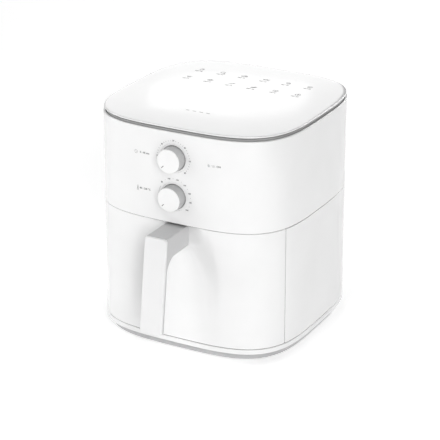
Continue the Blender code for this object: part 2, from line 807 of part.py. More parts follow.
def heater_guard():
    """Stamped guard under the element, with rings of slots for the air."""
    rim = DOME_RADIUS - 0.012
    loops = [circle(rim, 40)]
    for radius_in, radius_out, count in ((0.016, 0.046, 8), (0.050, rim - 0.005, 12)):
        pitch = 2 * math.pi / count
        for i in range(count):
            a, b = i * pitch + 0.12 * pitch, (i + 1) * pitch - 0.12 * pitch
            arc = [a + (b - a) * k / 3 for k in range(4)]
            loop = [(radius_out * math.cos(t), radius_out * math.sin(t)) for t in arc]
            loop += [(radius_in * math.cos(t), radius_in * math.sin(t)) for t in reversed(arc[::3])]
            loops.append(loop)
    prism("heater_guard", STEEL, loops, SHEET, (0, 0, GUARD_Z))


# ---------------------------------------------------------------- motor and fans
HUB_RADIUS = AXLE_RADIUS + 0.005


def ring_profile(inner, outer, bottom, top):
    return [(outer, top), (outer, bottom), (inner, bottom), (inner, top)]


def vanes(name, count, inner, outer, bottom, top, thickness, sweep):
    """Flat blades round an axis, in one mesh, to be united with a hub."""
    bm = bmesh.new()
    size = Matrix.Diagonal((outer - inner, thickness, top - bottom, 1))
    out = Matrix.Translation(((outer + inner) / 2, 0, (top + bottom) / 2))
    for i in range(count):
        spin = Matrix.Rotation(2 * math.pi * i / count, 4, "Z")
        lean = Matrix.Rotation(sweep, 4, "X")
        bmesh.ops.create_cube(bm, size=1.0, matrix=spin @ out @ lean @ size)
    return from_bmesh(name, bm, None)


def hot_air_fan():
    """Radial fan over the element: a disc with upright blades under it."""
    height = 0.014
    hub = ring_profile(AXLE_RADIUS + TOUCH, HUB_RADIUS, HOT_FAN_Z, HOT_FAN_Z + height)
    fan = turned("hot_air_fan", STEEL, hub, closed=True, segments=16)
    outline = [circle(HOT_FAN_RADIUS, 32), circle(HUB_RADIUS - 0.001, 16)]
    plate = prism("hot_fan_disc", None, outline, 0.0012, (0, 0, HOT_FAN_Z + 0.0026))
    low, high = HOT_FAN_Z + 0.002, HOT_FAN_Z + height
    unite(fan, plate, vanes("hot_fan_vanes", 8, HUB_RADIUS - 0.0015, HOT_FAN_RADIUS, low, high, 0.001, 0))
    return fan


def cooling_fan():
    """Axial fan on the motor's upper end, with leaning blades."""
    height = 0.010
    hub = ring_profile(AXLE_RADIUS + TOUCH, HUB_RADIUS, COOLING_FAN_Z, COOLING_FAN_Z + height)
    fan = turned("cooling_fan", DARK_PLASTIC, hub, closed=True, segments=16)
    low, high, lean = COOLING_FAN_Z - 0.001, COOLING_FAN_Z + height + 0.001, math.radians(35)
    inner, outer = HUB_RADIUS - 0.0015, COOLING_FAN_RADIUS
    unite(fan, vanes("cooling_fan_vanes", 7, inner, outer, low, high, 0.0012, lean))
    return fan


def motor():
    """Motor on its deck, with both bearings, the shaft and the fans at its two ends."""
    bore = BEARING_RADIUS + TOUCH
    deck = [circle(DOME_RADIUS - 0.004, 32), circle(bore, ROUND)]
    prism("motor_deck", STEEL, deck, 0.002, (0, 0, DECK_BOTTOM + 0.001))
    can = ring_profile(bore, MOTOR_RADIUS, MOTOR_BOTTOM, MOTOR_TOP)
    turned("motor_can", STEEL, can, closed=True)
    for name, bottom in (("lower_bearing", MOTOR_BOTTOM), ("upper_bearing", MOTOR_TOP - 0.006)):
        race = ring_profile(AXLE_RADIUS + TOUCH, BEARING_RADIUS, bottom, bottom + 0.006)
        turned(name, BRASS, race, closed=True, segments=16)

    fans = [hot_air_fan(), cooling_fan()]
    shaft_bottom, shaft_top = HOT_FAN_Z - 0.004, COOLING_FAN_Z + 0.014
    shaft = rod("motor_shaft", STEEL, AXLE_RADIUS, (0, 0, shaft_bottom), (0, 0, shaft_top), 16)
    flats = math.cos(math.pi / 6)  # a hexagon is this much narrower across its flats
    nut_profile = ring_profile((AXLE_RADIUS + TOUCH) / flats, 0.0075, HOT_FAN_Z - 0.0035, HOT_FAN_Z - TOUCH)
    nut = turned("fan_nut", STEEL, nut_profile, closed=True, segments=6)
    hang_on(axis_empty("fan_axis", (0, 0, MOTOR_BOTTOM)), shaft, nut, *fans)


# ---------------------------------------------------------------- drawer
def pan():
    """Coated pan with a drafted wall, a flat floor and an outward rim."""
    def ring(inset, z):
        outline = plan(PAN_HALF_W - inset, PAN_HALF_D - inset, INNER_POINTS, PAN_Y, PAN_ROUNDNESS)
        return [(x, y, z) for x, y in outline]

    foot = PAN_RIM + PAN_DRAFT
    rings = [
        ring(foot + 0.006, PAN_BOTTOM),
        ring(foot, PAN_BOTTOM + 0.006),
        ring(PAN_RIM, PAN_TOP - PAN_WALL),
        ring(0, PAN_TOP - PAN_WALL),
    ]
    return loft("pan", DARK_COAT, rings, cap_first=True, wall=PAN_WALL)


def drawer_front():
    """Front skin that wraps both corners, hollowed behind the handle."""
    start = math.pi - split_angle(0)
    end = 2 * math.pi + split_angle(0)
    return curtain("drawer_front", WHITE_SATIN, start, end, 34, 8, hollow=True)


def drawer_liner():
    """Flat plate that closes the drawer front's back and carries the pan."""
    half_x = HALF_W * (1 - abs(LINER_Y / HALF_D) ** ROUNDNESS) ** (1 / ROUNDNESS) - WALL - 0.0015
    return box(
        "drawer_liner",
        GREY_PLASTIC,
        (-half_x, LINER_Y, LOWER_BOTTOM + 0.002),
        (half_x, LINER_Y + WALL, LOWER_TOP - 0.002),
    )


def rounded_rectangle(half_x, half_y, radius, steps=4):
    made = []
    for cx, cy, first in ((1, 1, 0), (-1, 1, 90), (-1, -1, 180), (1, -1, 270)):
        for k in range(steps + 1):
            angle = math.radians(first + 90 * k / steps)
            made.append((
                cx * (half_x - radius) + radius * math.cos(angle),
                cy * (half_y - radius) + radius * math.sin(angle),
            ))
    return made


def handle():
    """Leaning grip bar on a short neck: a moulded core and a front cover, with two screws."""
    top_z = LOWER_TOP - GRIP_TOP_DROP
    top = Vector((front_y(top_z) - GRIP_REACH, top_z))
    down = Vector((-math.sin(GRIP_LEAN), -math.cos(GRIP_LEAN)))
    inward = Vector((math.cos(GRIP_LEAN), -math.sin(GRIP_LEAN)))

    centre = top + down * (GRIP_LENGTH / 2) + inward * (GRIP_COVER / 2)
    outline = rounded_rectangle(GRIP_WIDTH / 2, GRIP_LENGTH / 2, 0.004)
    cover = prism("handle_cover", WHITE_SATIN, [outline], GRIP_COVER, (0, 0, 0), "XZ")
    cover.matrix_world = (
        Matrix.Translation((0, centre.x, centre.y))
        @ Matrix.Rotation(-GRIP_LEAN, 4, "X")
        @ cover.matrix_world
    )

    neck_bottom = top_z - NECK_HEIGHT
    root = min(front_y(z) + scoop(GRIP_WIDTH / 2, z) for z in (top_z, neck_bottom)) - 2 * TOUCH
    back = GRIP_COVER + TOUCH
    front_top = top + inward * back
    front_top += down * ((front_top.y - top_z) / math.cos(GRIP_LEAN))
    front_foot = top + down * (GRIP_LENGTH - 0.001) + inward * back
    foot_back = front_foot + inward * GRIP_CORE
    shoulder = top + inward * (back + GRIP_CORE)
    bend = shoulder + down * ((shoulder.y - neck_bottom + NECK_FILLET) / math.cos(GRIP_LEAN))
    middle = Vector((bend.x + NECK_FILLET, neck_bottom - NECK_FILLET))
    fillet = [
        middle + NECK_FILLET * Vector((-math.cos(a), math.sin(a)))
        for a in (math.radians(15 * k) for k in range(7))
    ]
    side = [Vector((root, top_z)), front_top, front_foot, foot_back, *fillet, Vector((root, neck_bottom))]
    core = prism("handle_core", WHITE_SATIN, [side], GRIP_WIDTH - 0.001, (0, 0, 0), "YZ")
    handle_screws(core, root, (top_z + neck_bottom) / 2)


def handle_screws(core, root, z):
    """Two screws through the drawer front into the neck, side by side."""
    front = bpy.data.objects["drawer_front"]
    head_y = front_y(z) + scoop(0, z + 0.004) + WALL + TOUCH
    for name, side in (("handle_screw_left", -1), ("handle_screw_right", 1)):
        x = side * 0.008
        profile = [
            (0, 0.0022),
            (0.0025, 0.0020),
            (0.0034, 0.0008),
            (0.0034, 0),
            (0.0017, 0),
            (0.0017, root - head_y - 0.012),
            (0, root - head_y - 0.012),
        ]
        screw = turned(name, STEEL, profile, (x, head_y, z), segments=12)
        screw.rotation_euler = (math.radians(-90), 0, 0)
        tip = root - 0.014
        cut(core, rod(name + "_bore", None, 0.0017 + TOUCH, (x, tip, z), (x, root + 0.01, z), 12))
        cut(front, rod(name + "_pass", None, 0.0017 + TOUCH, (x, root - 0.01, z), (x, head_y + 0.01, z), 12))


def crisper_tray():
    """Slotted plate with a turned-down skirt that stands on the pan's floor."""
    foot = PAN_RIM + PAN_DRAFT + PAN_WALL + TRAY_GAP
    half_x, half_y = PAN_HALF_W - foot, PAN_HALF_D - foot

    def ring(inset, z):
        outline = plan(half_x - inset, half_y - inset, INNER_POINTS, PAN_Y, PAN_ROUNDNESS)
        return [(x, y, z) for x, y in outline]

    floor = PAN_BOTTOM + PAN_WALL + TOUCH
    rings = [
        ring(0.006, floor),
        ring(0.0, floor + 0.006),
        ring(0.0, TRAY_TOP - 0.001),
        ring(0.001, TRAY_TOP),
    ]
    tray = loft("crisper_tray", DARK_COAT, rings, cap_last=True, wall=0.0012)
    bm = bmesh.new()
    rows, columns, length, width = 4, 5, 0.026, 0.006
    for i in range(rows):
        for j in range(columns):
            x = (j - (columns - 1) / 2) * 2 * half_x / (columns + 0.4)
            y = PAN_Y + (i - (rows - 1) / 2) * 2 * half_y / (rows + 0.5)
            place_at = Matrix.Translation((x, y, TRAY_TOP)) @ Matrix.Diagonal((width, length, 0.006, 1))
            bmesh.ops.create_cube(bm, size=1.0, matrix=place_at)
    cut(tray, from_bmesh("tray_slots", bm, None))

    bumpers = []
    deep, tall, wide = TRAY_GAP - 0.0010, 0.006, 0.012
    low, high = TRAY_TOP - tall - 0.002, TRAY_TOP - 0.002
    for name, low_xy, high_xy in (
        ("tray_bumper_right", (half_x + TOUCH, PAN_Y - wide), (half_x + deep, PAN_Y + wide)),
        ("tray_bumper_left", (-half_x - deep, PAN_Y - wide), (-half_x - TOUCH, PAN_Y + wide)),
        ("tray_bumper_rear", (-wide, PAN_Y + half_y + TOUCH), (wide, PAN_Y + half_y + deep)),
        ("tray_bumper_front", (-wide, PAN_Y - half_y - deep), (wide, PAN_Y - half_y - TOUCH)),
    ):
        bumpers.append(box(name, GREY_RUBBER, (*low_xy, low), (*high_xy, high)))
    hang_on(axis_empty("tray_axis", (0, PAN_Y, floor)), tray, *bumpers)


def drawer():
    front = drawer_front()
    handle()
    pieces = [front, drawer_liner(), pan()]
    pieces += [
        bpy.data.objects[name]
        for name in ("handle_core", "handle_cover", "handle_screw_left", "handle_screw_right")
    ]
    hang_on(axis_empty("drawer_axis", (0, -HALF_D, PAN_BOTTOM)), *pieces)


# ---------------------------------------------------------------- assembly
clear_scene()
PARTS = new_collection("air_fryer")
HELPERS = new_collection("cutters")

WHITE_GLOSS = material("white_gloss", (0.90, 0.90, 0.90), 0.12)
WHITE_SATIN = material("white_satin", (0.88, 0.88, 0.88), 0.28)
GREY_PLASTIC = material("grey_plastic", (0.46, 0.46, 0.47), 0.45)
DARK_PLASTIC = material("dark_plastic", (0.05, 0.05, 0.05), 0.5)
DARK_COAT = material("dark_coat", (0.045, 0.045, 0.048), 0.38)
GREY_RUBBER = material("grey_rubber", (0.16, 0.16, 0.16), 0.8)
STEEL = material("steel", (0.62, 0.62, 0.64), 0.32, 1.0)
BRASS = material("brass", (0.70, 0.52, 0.22), 0.3, 1.0)
HEATER = material("heater_sheath", (0.20, 0.20, 0.21), 0.55, 1.0)
TRIM = material("trim_grey", (0.36, 0.36, 0.37), 0.35)
CLEAR = material("clear_lens", (0.85, 0.88, 0.90), 0.15)
AMBER = material("amber_lamp", (0.85, 0.45, 0.12), 0.3)

top_cover()
shell_ring("top_trim_ring", TRIM, TRIM_INSET, UPPER_TOP + TOUCH, LID_BOTTOM - TOUCH)
upper_housing()
lower_housing()
shell_ring("base_band", WHITE_SATIN, 0, BAND_BOTTOM, BAND_TOP)
base_plate()
feet()
rear_vent_grille()
cord_gland()

dial("timer", TIMER_Z)
dial("temp", TEMP_Z)
control_bracket()
controls()
safety_switch()
wiring_pieces()
cooking_chamber()
chamber_top()
slide_rails()
heat_reflector()
exhaust_duct()
heater_coil()
heater_guard()
motor()
drawer()
crisper_tray()

# The frame's origin is under the middle of the whole length, from the grip's foot to the gland.
frontmost = front_y(LOWER_TOP) - GRIP_REACH - math.sin(GRIP_LEAN) * GRIP_LENGTH
rearmost = gland_y() + GLAND_TAIL
footprint = axis_empty("footprint_middle", (0, -(frontmost + rearmost) / 2, 0))
for obj in bpy.data.objects:
    if obj.parent is None and obj is not footprint:
        obj.parent = footprint
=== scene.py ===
import math

import bmesh
import bpy
from mathutils import Matrix, Vector


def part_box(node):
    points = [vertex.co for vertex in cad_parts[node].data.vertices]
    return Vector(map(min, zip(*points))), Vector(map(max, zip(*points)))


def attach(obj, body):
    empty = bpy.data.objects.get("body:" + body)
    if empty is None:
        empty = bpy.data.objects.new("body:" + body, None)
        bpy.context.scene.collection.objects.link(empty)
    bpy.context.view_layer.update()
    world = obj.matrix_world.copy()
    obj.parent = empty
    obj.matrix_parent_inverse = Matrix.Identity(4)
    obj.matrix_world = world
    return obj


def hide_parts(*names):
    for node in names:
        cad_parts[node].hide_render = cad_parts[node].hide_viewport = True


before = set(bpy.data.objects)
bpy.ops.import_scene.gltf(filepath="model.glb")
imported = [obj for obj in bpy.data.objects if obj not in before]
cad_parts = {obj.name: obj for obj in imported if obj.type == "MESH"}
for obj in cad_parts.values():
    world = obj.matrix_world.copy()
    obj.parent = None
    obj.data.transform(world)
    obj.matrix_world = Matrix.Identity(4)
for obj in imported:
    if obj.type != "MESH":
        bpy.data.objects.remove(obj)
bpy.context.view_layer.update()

# The view and the studio: a long lens from the front right and a little above, a plain
# pale floor that glows faintly like a light table, and a ring of soft boxes.
lid_low, lid_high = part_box("top_cover")
AXIS_Y = (lid_low.y + lid_high.y) / 2
scene = bpy.context.scene
scene.view_settings.view_transform = "Standard"
scene.view_settings.look = "None"

VIEW_TURN, VIEW_RISE = math.radians(28.25), math.radians(22.15)
VIEW_DISTANCE, VIEW_LENS = 2.2318, 140.1
view_right = Vector((math.cos(VIEW_TURN), math.sin(VIEW_TURN), 0))
view_back = Vector((
    math.sin(VIEW_TURN) * math.cos(VIEW_RISE),
    -math.cos(VIEW_TURN) * math.cos(VIEW_RISE),
    math.sin(VIEW_RISE),
))
view_up = view_back.cross(view_right)
fryer_middle = Vector((0, AXIS_Y, 0.1445))
camera_data = bpy.data.cameras.new("studio_camera")
camera_data.lens = VIEW_LENS
camera_data.sensor_width = 36
camera = bpy.data.objects.new("studio_camera", camera_data)
camera.location = fryer_middle + view_back * VIEW_DISTANCE
aim = fryer_middle - view_right * 0.0084 - view_up * 0.0141
camera.rotation_euler = (aim - camera.location).to_track_quat("-Z", "Y").to_euler()
scene.collection.objects.link(camera)
scene.camera = camera

sky = bpy.data.worlds.new("studio_sky")
scene.world = sky
sky.use_nodes = True
sky.node_tree.nodes["Background"].inputs["Color"].default_value = (1, 1, 1, 1)
sky.node_tree.nodes["Background"].inputs["Strength"].default_value = 0.02


def soft_box(name, turn, rise, size, watts, away=2.6):
    """A rectangular soft light at a bearing and a height angle from the fryer, turned to face it."""
    lamp = bpy.data.lights.new(name, "AREA")
    lamp.shape = "RECTANGLE"
    lamp.size, lamp.size_y = size
    lamp.energy = watts
    turn, rise = math.radians(turn), math.radians(rise)
    towards = Vector((math.sin(turn) * math.cos(rise), -math.cos(turn) * math.cos(rise), math.sin(rise)))
    made = bpy.data.objects.new(name, lamp)
    made.location = fryer_middle + towards * away
    made.rotation_euler = towards.to_track_quat("Z", "Y").to_euler()
    scene.collection.objects.link(made)


TALL_BOX = (1.1, 1.6)
soft_box("key_box", 40, 22, TALL_BOX, 41)
soft_box("left_front_box", -45, 22, TALL_BOX, 13.5)
soft_box("left_box", -75, 22, TALL_BOX, 23)
soft_box("left_back_box", -150, 22, TALL_BOX, 9.5)
soft_box("back_box", 165, 22, TALL_BOX, 27)
soft_box("lid_panel", 208, 21.5, (0.5, 0.2), 0.2)
soft_box("high_front_box", 28, 60, (1.4, 1.0), 2.2)
soft_box("overhead_box", 0, 88, (0.5, 0.5), 2.2, 1.15)


def add_node(tree, kind, inputs, **settings):
    """A shader node with its settings made and its sockets set or joined."""
    made = tree.nodes.new("ShaderNode" + kind)
    for name, value in settings.items():
        setattr(made, name, value)
    for socket, value in inputs.items():
        if isinstance(value, bpy.types.NodeSocket):
            tree.links.new(value, made.inputs[socket])
        else:
            made.inputs[socket].default_value = value
    return made


def blank_finish(name):
    """A new material: its tree, its shader and the coordinates that its patterns follow."""
    finish = bpy.data.materials.new(name)
    finish.use_nodes = True
    tree = finish.node_tree
    at = tree.nodes.new("ShaderNodeTexCoord").outputs["Object"]
    return finish, tree, tree.nodes["Principled BSDF"], at


def spotted(tree, at, scale, low, high, detail=3.0):
    """A noise pattern spread between two values, for a colour's or a roughness's unevenness."""
    noise = add_node(tree, "TexNoise", {"Vector": at, "Scale": scale, "Detail": detail})
    span = {"Value": noise.outputs["Fac"], "From Min": 0.3, "From Max": 0.7, "To Min": low, "To Max": high}
    return add_node(tree, "MapRange", span).outputs["Result"]


def tinted(tree, fac, first, second):
    """A colour that runs from the first to the second as the factor rises."""
    mix = add_node(tree, "Mix", {"Factor": fac}, data_type="RGBA")
    mix.inputs["A"].default_value = (*first, 1)
    mix.inputs["B"].default_value = (*second, 1)
    return mix.outputs["Result"]


def raised(tree, shader, height, depth):
    """Bumps on a shader's surface, from a pattern and the depth of its relief in metres."""
    bump = add_node(tree, "Bump", {"Height": height, "Distance": depth, "Strength": 1.0})
    tree.links.new(bump.outputs["Normal"], shader.inputs["Normal"])


floor_finish, floor_tree, floor_shader, floor_at = blank_finish("pale_floor")
floor_spots = spotted(floor_tree, floor_at, 3.0, 0.0, 1.0)
floor_tint = tinted(floor_tree, floor_spots, (0.93, 0.93, 0.93), (0.95, 0.95, 0.95))
floor_tree.links.new(floor_tint, floor_shader.inputs["Base Color"])
floor_shader.inputs["Roughness"].default_value = 0.9
floor_shader.inputs["Specular IOR Level"].default_value = 0.1
floor_shader.inputs["Emission Color"].default_value = (1, 1, 1, 1)
floor_shader.inputs["Emission Strength"].default_value = 0.36
floor_form = bmesh.new()
bmesh.ops.create_grid(floor_form, x_segments=1, y_segments=1, size=9.0)
floor_mesh = bpy.data.meshes.new("studio_floor")
floor_form.to_mesh(floor_mesh)
floor_mesh.materials.append(floor_finish)
studio_floor = bpy.data.objects.new("studio_floor", floor_mesh)
scene.collection.objects.link(studio_floor)

# ------ lid
# The lid plate is one injection moulding in white ABS, polished to a gloss. Its thin rim
# rolls over into a top that is barely domed, and it clips down over the grey trim ring.
HALF = 0.136
FLARE = 0.0013
SQUARENESS = 3.6
HOUSING_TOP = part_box("upper_housing")[1].z
LID_HALF = (lid_high.x - lid_low.x) / 2
LID_TURN = 0.0018  # height of the rim before the top rolls over
LID_SHOULDER = 0.085  # how far in from the rim the dome goes on rising
LID_WALL = 0.0014
LID_DOME = lid_high.z - lid_low.z - LID_TURN


def wall_half(z):
    """Half the body's width across its flats at a height: it flares a little towards the table."""
    return HALF + FLARE * (1 - z / HOUSING_TOP)


def on_plan(vert, half_x, half_y, z, middle_y=AXIS_Y, squareness=SQUARENESS):
    """Slides a point straight out or in from the axis onto a rounded-square plan."""
    turn = math.atan2(vert.co.y - middle_y, vert.co.x)
    across = abs(math.cos(turn) / half_x) ** squareness
    along = abs(math.sin(turn) / half_y) ** squareness
    reach = (across + along) ** (-1 / squareness)
    vert.co = (reach * math.cos(turn), middle_y + reach * math.sin(turn), z)


def eased(corners, steps=4):
    """A section's corners, each given with its radius, with the rounded ones turned into arcs."""
    section = []
    for i, (across, up, radius) in enumerate(corners):
        here = Vector((across, up))
        if radius == 0:
            section.append(here)
            continue
        back = (Vector(corners[i - 1][:2]) - here).normalized()
        ahead = (Vector(corners[(i + 1) % len(corners)][:2]) - here).normalized()
        half_turn = back.angle(ahead) / 2
        centre = here + (back + ahead).normalized() * radius / math.sin(half_turn)
        start = here + back * radius / math.tan(half_turn) - centre
        end = here + ahead * radius / math.tan(half_turn) - centre
        sweep = start.angle(end)
        for k in range(steps + 1):
            share = k / steps
            turned = math.sin((1 - share) * sweep) * start + math.sin(share * sweep) * end
            section.append(centre + turned / math.sin(sweep))
    return section


def ring_moulding(section, place, count=240, closed=True, fill=False):
    """A moulding that runs round the body: a loop drawn out from station to station of its section."""
    bm = bmesh.new()
    bmesh.ops.create_circle(bm, segments=count, radius=1.0, matrix=Matrix.Translation((0, AXIS_Y, 0)))
    loop = bm.edges[:]
    first = loop
    for vert in bm.verts:
        place(vert, *section[0])
    for station in section[1:]:
        drawn = bmesh.ops.extrude_edge_only(bm, edges=loop)["geom"]
        fresh = [item for item in drawn if isinstance(item, bmesh.types.BMVert)]
        loop = edges_between(drawn)
        for vert in fresh:
            place(vert, *station)
    if closed:
        bmesh.ops.bridge_loops(bm, edges=first + loop)
    if fill:
        bmesh.ops.contextual_create(bm, geom=loop)
    return bm


def edges_between(drawn):
    """The edges of a freshly drawn-out loop: those whose two ends are both new points."""
    fresh = {item for item in drawn if isinstance(item, bmesh.types.BMVert)}
    edges = [item for item in drawn if isinstance(item, bmesh.types.BMEdge)]
    return [edge for edge in edges if edge.verts[0] in fresh and edge.verts[1] in fresh]


def finished(name, bm, finish, body, slot, *nodes, crease=35):
    """Closes up a piece, turns its faces outwards, gives it its finish and hangs it on its body."""
    bmesh.ops.remove_doubles(bm, verts=bm.verts, dist=1e-6)
    bmesh.ops.recalc_face_normals(bm, faces=bm.faces)
    mesh = bpy.data.meshes.new(name)
    bm.to_mesh(mesh)
    bm.free()
    mesh.shade_smooth()
    mesh.set_sharp_from_angle(angle=math.radians(crease))
    mesh.materials.append(finish)
    piece = bpy.data.objects.new(name, mesh)
    scene.collection.objects.link(piece)
    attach(piece, body)
    if nodes:
        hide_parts(*nodes)
    return piece


def mottled(name, tone_scale, tones, polish_scale, polish, grain, stretch=None, tooled=False):
    """A finish whose tone and polish drift over the piece, under a fine noisy or tooled grain."""
    finish, tree, shader, at = blank_finish(name)
    along = add_node(tree, "Mapping", {"Vector": at, "Scale": stretch}).outputs["Vector"] if stretch else at
    tone = tinted(tree, spotted(tree, along, tone_scale, 0, 1), *tones)
    tree.links.new(tone, shader.inputs["Base Color"])
    tree.links.new(spotted(tree, at, polish_scale, *polish), shader.inputs["Roughness"])
    size, depth = grain
    if tooled:
        relief = add_node(tree, "TexVoronoi", {"Vector": at, "Scale": size}).outputs["Distance"]
    else:
        relief = add_node(tree, "TexNoise", {"Vector": at, "Scale": size, "Detail": 2.0}).outputs["Fac"]
    raised(tree, shader, relief, depth)
    return finish, shader


def white_plastic(name, tones, polish, grain, coat=0.0):
    """White moulded plastic: a faint drift of tone, an uneven polish and a tool-mark grain."""
    finish, shader = mottled(name, 14.0, tones, 45.0, polish, grain)
    shader.inputs["IOR"].default_value = 1.53
    shader.inputs["Coat Weight"].default_value = coat
    shader.inputs["Coat Roughness"].default_value = 0.06
    return finish


def lid_height(point_x, point_y):
    """Height of the lid's outer face over a point of its plan."""
    size = (abs(point_x) ** SQUARENESS + abs(point_y - AXIS_Y) ** SQUARENESS) ** (1 / SQUARENESS)
    share = min(1.0, max(0.0, (LID_HALF - size) / LID_SHOULDER))
    return lid_low.z + LID_TURN + LID_DOME * (1 - (1 - share) ** 3)


def thickened(piece, thickness):
    """Gives a skin its wall, inwards."""
    wall = piece.modifiers.new("wall", "SOLIDIFY")
    wall.thickness = thickness
    wall.offset = -1


GLOSS_TONES = ((0.80, 0.80, 0.80), (0.83, 0.83, 0.83))
lid_gloss = white_plastic("lid_gloss_white", GLOSS_TONES, (0.10, 0.16), (700.0, 3e-6), 0.3)
lid_section = eased([
    (0.0024, lid_low.z + 0.0016, 0),
    (0.0020, lid_low.z, 0.0004),
    (0.0002, lid_low.z, 0.0004),
    (0.0000, lid_low.z + LID_TURN * 0.9, 0.0007),
    (0.0040, lid_height(LID_HALF - 0.004, AXIS_Y), 0),
], 5)
lid_section += [Vector((inset, lid_height(LID_HALF - inset, AXIS_Y))) for inset in (
    0.006, 0.009, 0.013, 0.018, 0.024, 0.031, 0.039, 0.048, 0.058, 0.070, 0.085, 0.105, 0.125,
)]
lid_bm = ring_moulding(
    lid_section, lambda vert, inset, z: on_plan(vert, LID_HALF - inset, LID_HALF - inset, z),
    closed=False, fill=True,
)
lid_plate = finished("lid_plate", lid_bm, lid_gloss, "body", "white_gloss", "top_cover")
thickened(lid_plate, LID_WALL)

# ------ trim ring
# The groove under the lid is a band of grey-sprayed ABS, set back three millimetres from the
# wall. A deeper groove along its top stays dark, so that the lid seems to float.
trim_low, trim_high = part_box("top_trim_ring")
TRIM_HALF = (trim_high.x - trim_low.x) / 2
TRIM_FOOT = 0.0014  # how far the ring hangs down behind the upper shell
TRIM_SHADOW = 0.0017  # height of the deeper groove right under the lid
TRIM_TONES = ((0.30, 0.30, 0.30), (0.35, 0.35, 0.35))
trim_finish, _ = mottled("trim_spray_grey", 30.0, TRIM_TONES, 60.0, (0.34, 0.46), (1600.0, 6e-6), (1, 1, 14))
trim_section = eased([
    (0.0000, trim_low.z - TRIM_FOOT, 0.0004),
    (0.0000, trim_high.z - TRIM_SHADOW, 0.0003),
    (0.0036, trim_high.z - TRIM_SHADOW + 0.0003, 0.0003),
    (0.0036, trim_high.z, 0.0003),
    (0.0050, trim_high.z, 0.0004),
    (0.0050, trim_low.z - TRIM_FOOT, 0.0004),
])
trim_bm = ring_moulding(
    trim_section, lambda vert, inset, z: on_plan(vert, TRIM_HALF - inset, TRIM_HALF - inset, z)
)
finished("trim_band", trim_bm, trim_finish, "body", "trim_grey", "top_trim_ring")

# ------ upper housing
# The upper shell is a white ABS band two and a half millimetres thick, with its lower edge
# eased over the seam and its upper edge rolled in towards the groove. Both dials' cups, the
# lamp's lens and the rear vent sit in holes through it.
housing_low, housing_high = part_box("upper_housing")
WALL = 0.0025


def cut_through(piece, cutter_bm):
    """Takes a cutter's shape out of a piece and keeps the result as the piece's own mesh."""
    bmesh.ops.recalc_face_normals(cutter_bm, faces=cutter_bm.faces)
    mesh = bpy.data.meshes.new("cutter")
    cutter_bm.to_mesh(mesh)
    cutter_bm.free()
    cutter = bpy.data.objects.new("cutter", mesh)
    scene.collection.objects.link(cutter)
    hole = piece.modifiers.new("hole", "BOOLEAN")
    hole.object = cutter
    hole.operation = "DIFFERENCE"
    hole.solver = "EXACT"
    graph = bpy.context.evaluated_depsgraph_get()
    cut_mesh = bpy.data.meshes.new_from_object(piece.evaluated_get(graph))
    piece.modifiers.clear()
    old = piece.data
    piece.data = cut_mesh
    cut_mesh.name = piece.name
    cut_mesh.set_sharp_from_angle(angle=math.radians(35))
    bpy.data.meshes.remove(old)
    bpy.data.objects.remove(cutter)
    bpy.data.meshes.remove(mesh)


def cylinder_along_y(bm, radius, x, z, y, length, segments=96):
    """A round bar that lies front to back."""
    lie_down = Matrix.Translation((x, y, z)) @ Matrix.Rotation(math.radians(90), 4, "X")
    bmesh.ops.create_cone(
        bm, cap_ends=True, segments=segments, radius1=radius, radius2=radius, depth=length, matrix=lie_down
    )


housing_satin = white_plastic(
    "housing_satin_white", ((0.79, 0.79, 0.79), (0.82, 0.82, 0.82)), (0.15, 0.22), (1300.0, 3e-6)
)
housing_section = eased([
    (0.0000, housing_low.z, 0.0006),
    (0.0000, housing_high.z, 0.0011),
    (WALL, housing_high.z, 0.0006),
    (WALL, housing_low.z, 0.0004),
])


def in_wall(vert, inset, z):
    """Slides a point onto the body's plan, this far in from its wall."""
    on_plan(vert, wall_half(z) - inset, wall_half(z) - inset, z)


housing_bm = ring_moulding(housing_section, in_wall)
upper_shell = finished("upper_shell", housing_bm, housing_satin, "body", "white_satin", "upper_housing")
cups = {prefix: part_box(prefix + "_bezel") for prefix in ("timer", "temp")}
lens_low, lens_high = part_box("indicator_lens")
vent_low, vent_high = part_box("rear_vent_grille")
holes = bmesh.new()
CUT_DEPTH = 0.02
CUP_GAP, LENS_GAP, VENT_GAP = 0.00015, 0.0001, 0.0003
for low, high in cups.values():
    cylinder_along_y(holes, (high.x - low.x) / 2 + CUP_GAP, 0, (low.z + high.z) / 2, low.y, CUT_DEPTH)
lens_middle = (lens_low + lens_high) / 2
lens_radius = (lens_high.x - lens_low.x) / 2
cylinder_along_y(holes, lens_radius + LENS_GAP, lens_middle.x, lens_middle.z, lens_low.y, CUT_DEPTH, 32)
vent_size = (vent_high - vent_low) + Vector((2 * VENT_GAP, CUT_DEPTH, 2 * VENT_GAP))
bmesh.ops.create_cube(
    holes, size=1.0,
    matrix=Matrix.Translation((vent_low + vent_high) / 2) @ Matrix.Diagonal((*vent_size, 1)),
)
cut_through(upper_shell, holes)

# ------ dials
# Each dial is a white cap with a softened rim and a small grey index line, turning in a
# shallow round cup that is let into the shell. Cap and cup are moulded in satin ABS.
DIAL_POLISH = (0.30, 0.38)
# The cap's side is a darker grey copy of the face's white plastic: painted shade on the side of the dial.
SKIRT_SHADE_TONES = ((0.44, 0.44, 0.445), (0.48, 0.48, 0.48))
dial_white = white_plastic("dial_white", GLOSS_TONES, DIAL_POLISH, (1500.0, 4e-6))
skirt_painted_shade = white_plastic("dial_skirt_painted_shade", SKIRT_SHADE_TONES, DIAL_POLISH, (1800.0, 5e-6))
INK_TONES = ((0.055, 0.055, 0.058), (0.10, 0.10, 0.10))
ink_finish, _ = mottled("pad_print_grey", 900.0, INK_TONES, 400.0, (0.42, 0.58), (3000.0, 3e-6))
CAP_HOLLOW = 0.0024  # thickness of the cap's face
CUP_FLOOR = 0.0011
SHAFT_HOLE = 0.0042
CAP_GAP = 0.0009
CAP_EDGE = 0.0007  # depth at which the white face gives way to the grey skirt, which is painted shade
INDEX_ANGLE = math.radians(-135)
INDEX_SIZE = (0.0008, 0.0002, 0.0042)
